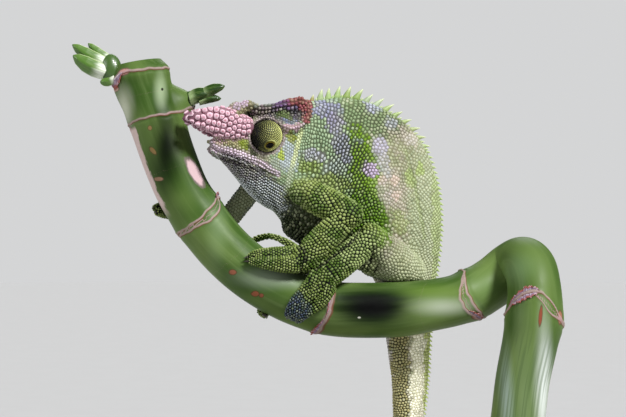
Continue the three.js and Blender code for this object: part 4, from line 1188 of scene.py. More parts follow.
def scales_piece(name, roots, finish, bed):
    """One mesh of solid domed scales that lie on a bed, with each one's place on the bake map."""
    span = fitted(roots)
    count = len(span)
    across = np.cross(roots["out"], roots["grain"])
    long = np.cos(CORNERS) * span * roots["stretch"][:, None]
    wide = np.sin(CORNERS) * span * (roots["narrow"] * roots["slim"])[:, None]
    spread = roots["grain"][:, None] * long[..., None] + across[:, None] * wide[..., None]
    root, out = roots["point"][:, None], roots["out"][:, None]
    tall = (roots["tall"] * roots["rise"] * roots["size"])[:, None, None]
    rim = (root + spread).reshape(-1, 3)
    laid = np.array([tuple(bed.find_nearest(Vector(point))[0]) for point in rim]).reshape(spread.shape)
    shoulder = root + (laid - root) * roots["round"][:, None, None] + out * tall * SHOULDER
    crest = root + out * tall * roots["dome"][:, None, None]
    base = laid - out * SUNK
    points = np.concatenate([base, shoulder, crest], axis=1)
    each = 2 * SIDES + 1
    ring, ahead = np.arange(SIDES), np.roll(np.arange(SIDES), -1)
    walls = np.stack([ring, ahead, ahead + SIDES, ring + SIDES], axis=-1)
    caps = np.stack([ring + SIDES, ahead + SIDES, np.full(SIDES, 2 * SIDES)], axis=-1)
    start = (np.arange(count) * each)[:, None, None]
    faces = (walls + start).reshape(-1, 4).tolist() + (caps + start).reshape(-1, 3).tolist()
    faces += (ring[::-1] + start[:, 0]).tolist()
    piece = new_piece(name, points.reshape(-1, 3) + PLANE, faces, finish)
    crowns = np.tile([0.0] * SIDES + [SHOULDER] * SIDES + [1.0], count)
    tones, limbs = np.repeat(roots["tone"], each), np.repeat(roots["limb"], each)
    store(piece, root=np.repeat(roots["point"], each, axis=0), crown=crowns, tone=tones, limb=limbs)
    charts, place = np.unique(roots["form"], return_inverse=True)
    u = (place + 0.03 + 0.94 * (roots["turn"] / (2 * np.pi) % 1)) / len(charts)
    v = 0.01 + 0.98 * np.clip(roots["t"], 0, 1)
    rim = 0.0015 * np.stack([np.cos(CORNERS), np.sin(CORNERS)], axis=-1)
    patch = np.concatenate([rim, rim * 0.78, [[0, 0]]])
    spots = (np.stack([u, v], axis=-1)[:, None] + patch).reshape(-1, 2)
    corners = np.empty(len(piece.data.loops), int)
    piece.data.loops.foreach_get("vertex_index", corners)
    layer = piece.data.uv_layers.new(name="OFBake")
    layer.data.foreach_set("uv", spots[corners].ravel())
    return piece


# ---- markings
MARKS = [  # x, z, half width, half height, lean, softness, colour, amount
    (34, 116, 9, 34, 0, 0.7, (182, 192, 158), 0.85),
    (24, 96, 12, 14, 0, 0.6, (198, 202, 168), 0.8),
    (-3, 142, 17, 30, 8, 0.3, (154, 178, 142), 1.0),
    (12, 154, 12, 7, 0, 0.5, (128, 148, 106), 0.9),
    (11.5, 134, 5.4, 16, 12, 0.3, (114, 150, 34), 1.0),
    (13.0, 120.5, 5.4, 9, 34, 0.3, (94, 132, 20), 1.0),
    (8.5, 122, 8, 7, 30, 0.4, (94, 132, 26), 1.0),
    (-1.2, 155.4, 5.2, 3.4, -12, 0.4, (156, 158, 184), 1.0),
    (1.6, 151.4, 3.0, 3.2, 20, 0.4, (160, 154, 182), 0.9),
    (4.0, 143.4, 3.0, 6.0, 14, 0.35, (158, 160, 176), 0.95),
    (1.0, 136.4, 3.6, 3.4, -14, 0.4, (170, 178, 180), 0.7),
    (9.4, 145.6, 1.6, 1.0, 0, 0.3, (150, 156, 172), 0.6),
    (13.6, 156.6, 2.8, 2.6, 0, 0.4, (182, 184, 208), 0.8),
    (19.6, 151.0, 2.2, 2.4, 20, 0.4, (186, 186, 204), 0.7),
    (-5.0, 140.6, 4.2, 2.0, -10, 0.6, (180, 178, 196), 0.8),
    (12.8, 136.4, 2.4, 2.9, 0, 0.35, (196, 178, 208), 1.0),
    (16.2, 143.6, 2.6, 3.2, 10, 0.35, (188, 182, 204), 0.9),
    (17.6, 137.6, 1.9, 4.6, 10, 0.4, (186, 184, 192), 0.7),
    (21.0, 132.6, 1.2, 1.6, 0, 0.3, (216, 194, 182), 0.9),
    (16.6, 132.6, 1.3, 1.8, 0, 0.3, (210, 188, 178), 0.8),
    (21.4, 127.4, 1.6, 1.5, 0, 0.3, (216, 194, 184), 0.9),
    (17.4, 128.6, 2.2, 4.2, 12, 0.4, (184, 176, 170), 0.7),
    (26.2, 133.4, 1.6, 3.2, 0, 0.4, (164, 184, 108), 0.7),
    (29.6, 136.4, 1.4, 2.4, 0, 0.4, (166, 188, 104), 0.7),
    (22.6, 119.0, 2.2, 4.2, 0, 0.5, (160, 176, 108), 0.6),
    (26.4, 146.4, 2.0, 2.6, 30, 0.4, (200, 194, 186), 0.7),
    (35.6, 112, 2.4, 34, 0, 0.5, (166, 188, 104), 0.45),
    (-6.6, 137.0, 4.0, 2.6, 0, 0.6, (146, 168, 86), 0.9),
    (-0.5, 131, 7, 3.8, 0, 0.5, (142, 160, 84), 0.9),
    (-6.5, 128.5, 8, 5, 0, 0.5, (138, 152, 88), 1.0),
    (-12.9, 146.0, 2.6, 3.0, 10, 0.3, (136, 146, 66), 1.0),
    (-13.6, 140.6, 3.4, 5.6, 10, 0.3, (184, 196, 206), 1.0),
    (-15.7, 140.8, 1.3, 1.7, 0, 0.25, (176, 194, 84), 1.0),
    (-17.6, 136.6, 3.0, 2.4, -30, 0.4, (170, 180, 168), 0.9),
    (-24.5, 128.5, 15, 7.4, -40, 0.25, (196, 202, 208), 1.0),
    (-30, 137.5, 9.5, 3.4, -30, 0.3, (150, 146, 152), 1.0),
    (-18, 116.5, 7, 6, -50, 0.4, (150, 158, 142), 0.8),
    (-36.8, 143.2, 2.4, 3.0, 0, 0.3, (188, 170, 188), 1.0),
    (-31.4, 144.6, 4.6, 2.0, -14, 0.4, (162, 152, 112), 1.0),
    (-26.6, 144.4, 2.6, 2.3, -10, 0.3, (134, 148, 48), 1.0),
    (-33, 151, 9.5, 6.0, 0, 0.25, (206, 168, 182), 1.0),
    (-27.4, 155.4, 5.0, 3.0, 0, 0.4, (148, 140, 110), 1.0),
    (-29.0, 156.8, 3.2, 1.5, 20, 0.3, (198, 174, 198), 1.0),
    (-25.0, 153.2, 1.8, 1.3, 0, 0.4, (34, 40, 20), 1.0),
    (-24.7, 142.2, 1.9, 0.9, -34, 0.4, (40, 46, 24), 0.85),
    (-20.6, 154.4, 4.6, 1.8, 0, 0.3, (126, 106, 118), 0.9),
    (-20.0, 156.8, 4.4, 1.4, 0, 0.4, (122, 126, 120), 0.9),
    (-13.6, 156.8, 4.6, 2.4, 0, 0.3, (112, 82, 128), 1.0),
    (-9.8, 158.4, 4.4, 2.6, 0, 0.3, (142, 66, 76), 1.0),
    (-10.8, 154.4, 3.4, 2.2, 0, 0.3, (78, 62, 104), 1.0),
    (-7.8, 154.6, 1.9, 4.0, 0, 0.25, (156, 84, 92), 1.0),
    (-13.6, 152.8, 5.0, 3.0, 0, 0.3, (96, 88, 102), 1.0),
    (-14.9, 153.6, 2.0, 1.6, 0, 0.5, (92, 112, 58), 0.9),
    (-12.5, 151.5, 2.4, 0.9, 0, 0.3, (118, 126, 152), 1.0),
    (-12.4, 149.4, 3.6, 1.1, 10, 0.3, (204, 172, 188), 1.0),
    # the next three dark patches are painted shadow: under the foreleg and between forearm and shank
    (-11, 113, 9, 10, 0, 0.5, (44, 54, 32), 1.0), (-5.6, 122.6, 9, 4.6, -30, 0.4, (48, 58, 34), 1.0),
    (5.0, 114.4, 3.4, 3.0, 0, 0.4, (44, 66, 20), 1.0),
    (22.8, 62, 3.0, 32, 0, 0.15, (166, 158, 110), 1.0),
    # the tail's own cream band down its right side, made brighter still with painted light
    (29.0, 60, 3.0, 32, 0, 0.15, (255, 252, 228), 1.0),
    (32.2, 62, 1.4, 30, 0, 0.3, (186, 200, 110), 0.9),
    (18.6, 62, 1.3, 30, 0, 0.3, (222, 214, 210), 1.0),
]
LINES = [  # narrow markings: x, z of both ends, half width, colour, amount
    (-36.4, 142.8, -27.7, 140.5, 1.0, (232, 208, 230), 1.0),
    (-27.7, 140.5, -20.6, 137.4, 1.1, (240, 220, 238), 1.0),
    (-20.6, 137.4, -16.4, 134.4, 0.85, (226, 206, 226), 0.9),
    # the next two dark lines are painted shadow in the mouth's slit, under the lip
    (-34.6, 139.6, -24.6, 136.3, 0.5, (66, 54, 66), 0.9),
    (-24.6, 136.4, -17.2, 132.6, 0.45, (78, 70, 76), 0.7),
    (-37.2, 141.4, -29.0, 130.6, 0.6, (176, 190, 176), 0.7),
    (-9.2, 148.4, -12.0, 137.0, 0.7, (222, 232, 176), 0.9),
    (-12.0, 137.0, -13.6, 131.0, 0.8, (186, 198, 172), 0.8),
    (24.6, 142.6, 27.6, 131.0, 0.6, (146, 160, 112), 0.5),
    (27.6, 131.0, 30.8, 114.0, 0.6, (150, 166, 110), 0.5),
]
LEG_PATCHES = [  # two blue grey feet and a paler knee: centre, reach along x, y, z, colour
    ((-11, -10, 91), (4.6, 22, 6.4), (64, 76, 100)), ((-19, 8, 84), (5, 10, 5), (70, 82, 108)),
    ((10, -12, 111), (8, 14, 6.4), (150, 168, 104)),
]
DEEP_AND_SHADED = [  # where the creases are deep and darkened with painted shade: x, z, half width, half height, lean, depth
    (6.2, 138, 7.2, 11, 6, 0.85), (9.6, 123, 6.8, 12, 16, 0.85), (2, 141, 12, 18, 6, 0.55),
    (-26.5, 139.8, 11, 1.8, -27, 0.5), (16, 153, 10, 6, -20, 0.55),
    (-25.5, 129.5, 15, 8.0, -40, 0.9), (-16, 114, 8, 10, 0, 1.0), (-29.5, 137.6, 8, 2.6, -26, 0.8),
    (-20.5, 154.6, 6, 2.4, 0, 0.7), (-10.5, 156, 6, 4, 0, 0.4), (22.2, 62, 3.6, 32, 0, 0.85),
]


def leaning(x, z, wide, high, lean):
    """Two vectors whose dot products with a place say how far over a leaning oval it is."""
    turn = np.radians(lean)
    side = np.array([np.cos(turn) / wide, 0, np.sin(turn) / wide])
    rise = np.array([-np.sin(turn) / high, 0, np.cos(turn) / high])
    return side, rise, float(side @ [x, 0, z]), float(rise @ [x, 0, z])


def past_oval(at, oval):
    """How far a place of a finish is from the middle of a leaning oval, squared: 1 at its edge."""
    side, rise, over, up = leaning(*oval)
    u = at.dot(tuple(side.tolist())) - over
    v = at.dot(tuple(rise.tolist())) - up
    return u * u + v * v


def depth_of(points, limb):
    """How deep the creases are at each point, from 0 to 1."""
    deep = np.maximum(limb, 0)
    for *oval, depth in DEEP_AND_SHADED:
        side, rise, over, up = leaning(*oval)
        away = np.hypot(points @ side - over, points @ rise - up)
        deep = np.maximum(deep, depth * np.clip((1.2 - away) / 0.4, 0, 1))
    return deep * (1 - 0.7 * np.clip(-limb, 0, 1))


def line_patch(root, ends, wide):
    """1 on a straight line between two ends, in x and z, falling to 0 beside it."""
    x, z, to_x, to_z = ends
    run = np.array([to_x - x, 0, to_z - z])
    from_end = root * (1, 0, 1) - (x, 0, z)
    pull = tuple((run / (run @ run)).tolist())
    share = root.finish.node("Clamp", {}, {"Value": from_end.dot(pull)})
    foot = root.finish.node("VectorMath", {"operation": "SCALE"}, {0: tuple(run.tolist()), "Scale": share})
    return (from_end - foot).length().ease(wide * 1.3, wide * 0.8)


def hide(finish):
    """The animal's markings, read at the root of each scale, with painted shade down in the creases."""
    root = finish.attribute("root", "Vector")
    tone = finish.attribute("tone")
    leg_and_lit_share = finish.attribute("limb")
    limb = leg_and_lit_share.most(0.0)
    pale_lit_inner = leg_and_lit_share.ease(0.0, -0.6)
    at = root + (finish.noise(root, 0.35, 4.0, 1) - (0.5, 0.5, 0.5)) * (5.0, 5.0, 5.0)
    cloud = finish.noise(root, 0.16, 3.0)
    body = cloud.ease(0.4, 0.62).mix((178, 168, 156), (158, 160, 130))
    body = body.coat(finish.noise(at * (0.5, 0.5, 0.12), 1.0, 2.0).ease(0.5, 0.7) * 0.5, 142, 152, 104)
    for *oval, soft, colour, amount in MARKS:
        patch = (past_oval(at, oval) + tone * 0.8).ease(1.4 + soft, 1.4 - soft)
        body = body.coat(patch * amount, *colour)
    # painted shade of fine folds: darker streaks running down the body
    fold = finish.noise(at * (1.3, 1.3, 0.2), 1.0, 2.0)
    body = body.coat(fold.ease(0.54, 0.66) * 0.42, 112, 116, 82)
    for *ends, wide, colour, amount in LINES:
        body = body.coat(line_patch(root, ends, wide) * amount, *colour)
    for centre in eyes.values():
        off = (root - tuple(centre.tolist())).length()
        body = body.coat(off.ease(6.6, 5.9) * 0.85, 178, 160, 166)
    leg = cloud.ease(0.4, 0.6).mix((82, 110, 38), (136, 152, 80))
    # painted shade: the legs darker towards their lower parts
    leg = leg.coat(root.part(2).ease(116, 98) * 0.5, 70, 92, 26)
    for centre, reach, colour in LEG_PATCHES:
        leg = leg.coat(((at - centre) / reach).length().ease(1.2, 0.8), *colour)
    # the far limbs' inner sides: their own pale colour, made paler still with painted light
    colour = pale_lit_inner.mix(limb.mix(body, leg), (200, 206, 172))
    # painted shadow lines along the deep folds on the near side
    shadow_near_side = root.part(1).ease(4, 2)
    for *ends, wide, _ in CREASES:
        colour = colour.coat(line_patch(root, ends, wide) * shadow_near_side * 0.9, 26, 32, 12)
    speckle = finish.noise(root, 1.1, 1.0).ease(0.56, 0.68)
    colour = colour.coat(speckle * (0.2 + 0.2 * limb), 86, 104, 50)
    pale = limb.mix((212, 218, 176), (196, 208, 146))
    colour = finish.blend(tone.ease(0.3, 1.0) * (0.2 + 0.1 * limb), colour, pale)
    colour = colour.coat(tone.ease(0.4, 0.0) * (0.2 + 0.4 * limb), 58, 78, 22)
    # painted shade in the creases: scale walls and the skin between them darken, most where creases are deep
    crease_shade_strength = limb
    for *oval, depth in DEEP_AND_SHADED:
        crease_shade_strength = crease_shade_strength.most((past_oval(at, oval) + tone * 0.5).ease(2.0, 0.6) * depth)
    crease_shade_strength = crease_shade_strength * (1 - pale_lit_inner * 0.7)
    shade = crease_shade_strength.mix((196, 194, 180), (20, 32, 6))
    times = {"data_type": "RGBA", "blend_type": "MULTIPLY"}
    dark = finish.node("Mix", times, {0: 1.0, 6: colour, 7: shade}, 2)
    return finish.attribute("crown").ease(crease_shade_strength * 0.03, 0.22 + 0.16 * crease_shade_strength).mix(dark, colour)


skin_finish = Finish("reptile_skin", Specular_IOR_Level=0.2)
wrinkle = skin_finish.noise(skin_finish.place(), 1.6, 4.0)
skin_finish.show(
    Base_Color=hide(skin_finish),
    Roughness=0.6 + wrinkle * 0.2,
    Normal=skin_finish.bump(wrinkle, 0.15, 0.6),
)
scale_finish = Finish("reptile_scale", Specular_IOR_Level=0.26)
wear = scale_finish.noise(scale_finish.place(), 3.0, 3.0)
scale_finish.show(
    Base_Color=hide(scale_finish),
    Roughness=0.4 + wear * 0.22,
    Normal=scale_finish.bump(wear, 0.05, 0.5),
)

skin = new_piece("skin", skin_points + PLANE, quads.tolist(), skin_finish)
limb_flags = np.array([form["limb"] for form in scaled])
inner_side = np.array([1 * ("left_" in form["name"]) - 1 * ("right_" in form["name"]) for form in scaled])
is_arm = np.array([form["name"].endswith(("upper", "lower")) for form in scaled])
is_thigh = np.array([form["name"].startswith("hind") and "toe" not in form["name"] for form in scaled])


def leg_share(numbers, points, outs):
    """How far places wear the legs' colours, less up the thighs; below 0 on their inner sides, which are pale
    and made paler still with painted light.
    """
    pale_lit_inner = np.clip((outs[:, 1] * inner_side[numbers] - 0.1) * 2.5, 0, 1) * is_arm[numbers]
    thigh = np.clip((points[:, 0] - 12) / 6.5, 0, 1) * is_thigh[numbers]
    shoulder = np.clip(1.2 - np.linalg.norm(points - LEGS["foreleg_left"]["root"][:3], axis=-1) / 7, 0, 1)
    share = limb_flags[numbers] * (1 - 0.85 * thigh) * (1 - 0.8 * shoulder)
    return share * (1 - pale_lit_inner) - pale_lit_inner


row_finder = finder_of(roots["point"])
row_of = np.array([row_finder.find(point)[1] for point in skin_points])
skin_limb = leg_share(roots["form"][row_of], skin_points, skin_out)
plain = np.zeros(len(skin_points))
store(skin, root=skin_points, crown=plain, tone=plain + 0.5, limb=skin_limb)
FLESH = ["head", "lower_jaw", "trunk", "tail_base", "tail_middle", "tail_coil"]
FLESH += [f"{leg}_{part}" for leg in LEGS for part in ("upper", "lower", "toes_outer", "toes_inner")]
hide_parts(*FLESH)



def round_about(x, z, wide, high, edge):
    """More than 0 inside an upright oval in x and z, and 1 well inside it."""
    at_x, _, at_z = roots["point"].T
    return np.clip(edge - np.hypot((at_x - x) / wide, (at_z - z) / high), 0, 1)


count = len(roots["size"])
roots["tone"] = rng.random(count)
roots["limb"] = leg_share(roots["form"], roots["point"], roots["out"])
roots["weight"] = rng.uniform(0.84, 1.16, count)
roots["dome"] = np.ones(count)
deep = depth_of(roots["point"], roots["limb"])
roots["tall"] = roots["tall"] * rng.uniform(0.8, 1.2, count)
roots["tall"] = roots["tall"] * (1 + 1.6 * round_about(-10, 158, 7, 4, 1.4) * rng.random(count))
roots["rise"] = 0.1 + 0.35 * deep
roots["full"] = np.full(count, 0.68)
roots["fill"] = 0.99 - 0.02 * deep
roots["round"] = 0.84 - 0.1 * deep
on_body = 1 - limb_flags[roots["form"]]
column = np.minimum(on_body * round_about(3, 140, 12, 20, 1.3) * 1.6, 1) * deep
gular = on_body * round_about(-24, 131, 12, 8, 1.25) > 0.1
along_jaw = flat_on(np.array([0.8, 0, -0.6]), roots["out"])
roots["grain"] = np.where(gular[:, None], along_jaw, roots["grain"])
roots["narrow"] = np.where(gular, 0.72, 1 - 0.3 * column)
roots["slim"] = np.where(gular, 0.86, 1 - 0.24 * column)
piece_of = np.array([form["piece"] for form in scaled])[roots["form"]]
on_head = roots["t"] < 0.44
left_side = np.sin(roots["turn"]) < 0
groups = {
    "scales_head": (piece_of == "body") & on_head,
    "scales_flank_left": (piece_of == "body") & ~on_head & left_side,
    "scales_flank_right": (piece_of == "body") & ~on_head & ~left_side,
    "scales_tail": piece_of == "tail",
    "scales_forelegs": piece_of == "foreleg",
    "scales_hindlegs": piece_of == "hindleg",
}
for name, chosen in groups.items():
    own = {key: value[chosen] for key, value in roots.items()}
    scales_piece(name, own, scale_finish, skin_tree)

# ---------------------------------------------------------------- dorsal crest
# A row of soft horny spines down the middle of the back, tall and bent back on the nape, with
# small cones between them, and a low saw edge from there to the end of the tail.

spine_finish = Finish("crest_spine")
colour = hide(spine_finish).coat(0.55, 150, 178, 84)
low = spine_finish.attribute("root", "Vector").part(2).ease(92, 86)
colour = colour.coat(low * 0.75, 216, 238, 132)
colour = colour.coat(spine_finish.attribute("crown").ease(0.6, 1.0) * 0.8, 214, 222, 176)
ribs = spine_finish.noise(spine_finish.place(), 2.2, 3.0)
spine_finish.show(Base_Color=colour, Roughness=0.38 + ribs * 0.2, Normal=spine_finish.bump(ribs, 0.06, 0.5))
way = np.linspace(9.2 / 22, 1, 900)
back = body_surface(way, np.zeros(900))
inside = (back + body_surface(way, np.full(900, np.pi))) / 2
tail_way = np.linspace(0.02, 0.985, 700)
back = np.concatenate([back, tube_point(tail, tail_way, np.full(700, np.pi / 2), (0, 1, 0))])
inside = np.concatenate([inside, along(tail, tail_way)[:, :3]])
run = np.concatenate([[0], np.cumsum(np.linalg.norm(np.diff(back, axis=0), axis=-1))])
# Along the back from the nape: how tall the spines are, how far apart, how far bent back
SPINE_HEIGHTS = [
    (0, 1.8), (3, 3.6), (9, 4.0), (20, 3.6), (32, 2.9), (43, 2.3), (45, 1.25), (80, 1.1), (170, 0.8)]
SPINE_STEPS = [(0, 2.7), (12, 3.3), (30, 3.7), (43, 3.2), (44, 1.8), (90, 1.6), (200, 0.9)]
SPINE_BENDS = [(0, 0.3), (12, 0.42), (34, 0.8), (60, 0.75)]
SPINE_SHARES = (0, 0.25, 0.5, 0.75, 0.93, 1.0)
LAST_CONE, CONE_TALL = 44, 1.1
SPINE_SIDES = 8
cones, crowns, tones, root_of = [], [], [], []
turns = spans(2, SPINE_SIDES)[1].T
at = 0.6
while at < run[-1] - 1:
    step = np.interp(at, *zip(*SPINE_STEPS))
    pair = [(at, np.interp(at, *zip(*SPINE_HEIGHTS)) * rng.uniform(0.9, 1.08))]
    if at < LAST_CONE:
        pair.append((at + step * 0.52, CONE_TALL))
    for spot_at, tall in pair:
        sample = np.array([[np.interp(s, run, line[:, k]) for k in range(3)] for s, line in (
            (spot_at, back), (spot_at + 0.6, back), (spot_at - 0.6, back), (spot_at, inside))])
        foot = sample[0]
        ahead = unit(sample[1] - sample[2])
        outward = unit(foot - sample[3] - ahead * ((foot - sample[3]) @ ahead))
        flat = np.cross(ahead, outward)
        half = 0.36 + 0.25 * tall
        lean = np.interp(spot_at, *zip(*SPINE_BENDS)) * tall
        oval = ahead * np.cos(turns) * 1.15 + flat * np.sin(turns) * 0.6
        rings = []
        for share in SPINE_SHARES:
            full = (1 - share) ** 0.72 if share < 1 else 0.02
            centre = foot - outward * 0.5 + outward * (tall + 0.5) * share + ahead * lean * share**1.5
            rings.append(centre + oval * half * full)
            crowns += [0.3 + 0.7 * share] * SPINE_SIDES
        cones.append(np.array(rings))
        crowns += [0.3, 1.0]
        corners = SPINE_SIDES * len(SPINE_SHARES) + 2
        tones += [rng.random()] * corners
        root_of += [foot.tolist()] * corners
    at += step
points, faces = joined(cones)
spines = new_piece("crest_spines", np.array(points) + PLANE, faces, spine_finish)
store(spines, root=root_of, crown=crowns, tone=tones, limb=np.zeros(len(points)))

# ---------------------------------------------------------------- horns
# Two blade-like horns that jut from the snout side by side: soft pink bone cores, covered in
# large convex plates that grow smaller towards the dark tips.

HORN = [  # x, z, distance from the midline, half height, half thickness
    (-26.4, 149.9, 5.0, 2.8, 1.5), (-28.6, 149.6, 4.9, 3.9, 1.8), (-32.6, 150.2, 4.3, 4.9, 1.8),
    (-37.0, 151.4, 3.3, 4.8, 1.6), (-40.2, 152.1, 2.8, 3.8, 1.4), (-42.7, 152.3, 2.5, 2.8, 1.2),
    (-44.6, 152.1, 2.3, 1.9, 1.0), (-45.5, 152.0, 2.2, 0.8, 0.6),
]
HORN_FACING = (-0.35, 1, 0)
horn_finish = Finish("horn_plate", Specular_IOR_Level=0.35)
root = horn_finish.attribute("root", "Vector")
crown = horn_finish.attribute("crown")
tone = horn_finish.attribute("tone")
to_tip = root.part(0)
colour = tone.mix((196, 142, 158), (218, 170, 186))
colour = colour.coat(to_tip.ease(-39.5, -44.6) * 0.85, 120, 80, 98)
low = root.part(2)
colour = colour.coat(low.ease(150.5, 146.5) * 0.15, 150, 112, 124)
mottle = horn_finish.noise(horn_finish.place(), 1.4, 4.0)
colour = colour.coat(mottle.ease(0.5, 0.75) * 0.5, 176, 128, 148)
# painted shade in the dished middles of the plates towards the horn's base
hollow_shade = crown.ease(0.8, 1.0) * to_tip.ease(-42.0, -34.0)
colour = colour.coat(hollow_shade * 0.8, 172, 104, 116)
# painted highlight round the rims of the plates
rim = crown.ease(0.5, 0.72) * crown.ease(0.9, 0.75)
colour = colour.coat(rim * 0.7, 246, 216, 226)
# painted shade in the creases between the plates
colour = crown.ease(0.0, 0.3).mix((84, 48, 58), colour)
horn_finish.show(Base_Color=colour, Roughness=0.42 + mottle * 0.2, Normal=horn_finish.bump(mottle, 0.1, 0.6))


PLAIN = {"stretch": 1.0, "narrow": 1.0, "slim": 1.0, "tall": 1.0, "dome": 1.0, "limb": 0.0, "form": 0}


def filled(count, values):
    """Values with each single number repeated for a count of points."""
    return {key: value if np.ndim(value) else np.full(count, value) for key, value in values.items()}


def set_scales(name, finish, slot, bed, **own):
    """A coat of scales that are set on a core: as given, or plain where nothing is said."""
    roots = filled(len(own["size"]), {"kept": True, **PLAIN, **own})
    kept = roots.pop("kept")
    scales_piece(name, {key: value[kept] for key, value in roots.items()}, finish, bed)


PLATE_PITCH = ((0, 1.5), (0.35, 1.7), (0.6, 2.1), (0.85, 2.1), (1, 1.5))
for side, name in BOTH:
    rows = [[*body_point(x, z, side * out), high - 0.45, thick - 0.3] for x, z, out, high, thick in HORN]
    rows = np.array(rows)
    rows[-1, 3:] = (0.5, 0.4)
    surface = tube_form(rows, HORN_FACING)
    more, walls = closed_tube(surface(*spans(60, 48)))
    core = new_piece(f"horn_core_{name}", more + PLANE, walls, horn_finish)
    store(core, **filled(len(more), {"root": more, "crown": 0.1, "tone": 0.5}))
    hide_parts(f"horn_{name}")
    ts, around, sizes = lattice({"surface": surface, "pitch": PLATE_PITCH, "stretch": 1.05})
    around = around + rng.normal(0, 0.05, len(ts))
    ts = np.clip(ts + rng.normal(0, 0.006, len(ts)), 0, 1)
    ahead, round_it = slopes(surface, ts, around, 0.01)
    out = unit(np.cross(ahead, round_it))
    spots = surface(ts, around)
    out = out * np.sign((out * (spots - along(rows, ts)[:, :3])).sum(-1, keepdims=True))
    set_scales(
        f"horn_plates_{name}", horn_finish, "horn", BVHTree.FromPolygons(more.tolist(), walls),
        point=spots, out=out, grain=unit(round_it), size=sizes, t=ts, turn=around,
        tall=rng.uniform(0.6, 1.6, len(ts)), rise=0.34, full=0.74, fill=0.99, round=0.8,
        weight=rng.uniform(0.8, 1.2, len(ts)), dome=np.interp(ts, [0.4, 0.6], [0.62, 1.1]),
        tone=rng.random(len(ts)), kept=np.linalg.norm(spots - eyes[name], axis=-1) > EYE["radius"] + 0.9,
    )

# ---------------------------------------------------------------- eyes
# Each eye is a cone-like turret of fused lids, covered in fine grains set in rings round a
# small opening, through which the wet dark eyeball with its thin gold iris looks out.

LOOK_DOWN = 43  # degrees
turret_finish = Finish("eye_turret", Specular_IOR_Level=0.2)
crown = turret_finish.attribute("crown")
tone = turret_finish.attribute("tone")
root = turret_finish.attribute("root", "Vector")
ringed = turret_finish.attribute("limb")
cloud = turret_finish.noise(root, 0.4, 2.0)
# painted shade and light: the turret dark at its front and pale yellow-green at its rear, with more pale
# grains at the rear
lit_rear = (root.part(0) + cloud * 2).ease(-22.2, -16.4)
high = (root.part(2) + cloud).ease(149.0, 152.0)
colour = lit_rear.mix((10, 12, 3), (226, 230, 146))
colour = colour.coat(high * 0.7, 34, 40, 26)
colour = colour.coat(tone.ease(0.5, 1.0) * 0.5 * (0.12 + lit_rear), 206, 206, 116)
# painted shade: darker still round the front of the opening
shaded_beside_opening = ringed.ease(0.62, 0.4) * lit_rear.ease(0.8, 0.5)
colour = colour.coat(shaded_beside_opening * 0.85, 26, 26, 14)
colour = colour.coat(ringed.ease(0.4, 0.36), 150, 142, 70)
colour = colour.coat(ringed.ease(0.3, 0.26), 22, 18, 12)
# painted shade between the grains
colour = crown.ease(0.2, 0.75).mix((12, 14, 5), colour)
grain_of = turret_finish.noise(turret_finish.place(), 3.0, 3.0)
turret_finish.show(
    Base_Color=colour,
    Roughness=0.42 + grain_of * 0.2,
    Normal=turret_finish.bump(grain_of, 0.04, 0.5),
)
ball_finish = Finish("eyeball", Specular_IOR_Level=0.12)
ringed = ball_finish.attribute("limb")
flecks = ball_finish.noise(ball_finish.place(), 5.0, 3.0)
iris = flecks.mix((98, 84, 28), (132, 116, 48))
colour = ringed.ease(0.9, 0.98).mix((10, 7, 6), iris)
ball_finish.show(Base_Color=colour, Roughness=0.06 + flecks * 0.05)
GRAIN_SIZES = [(0.46, 0.48), (1.0, 0.64), (2.1, 0.68)]  # angle from the opening, size
GRAIN_LEVEL = 5  # radius of the grains' rings
EYE_SIDES = 72
LID, BALL_RADIUS, BALL_SUNK = 0.28, 1.55, 1.4
drop = np.radians(LOOK_DOWN)
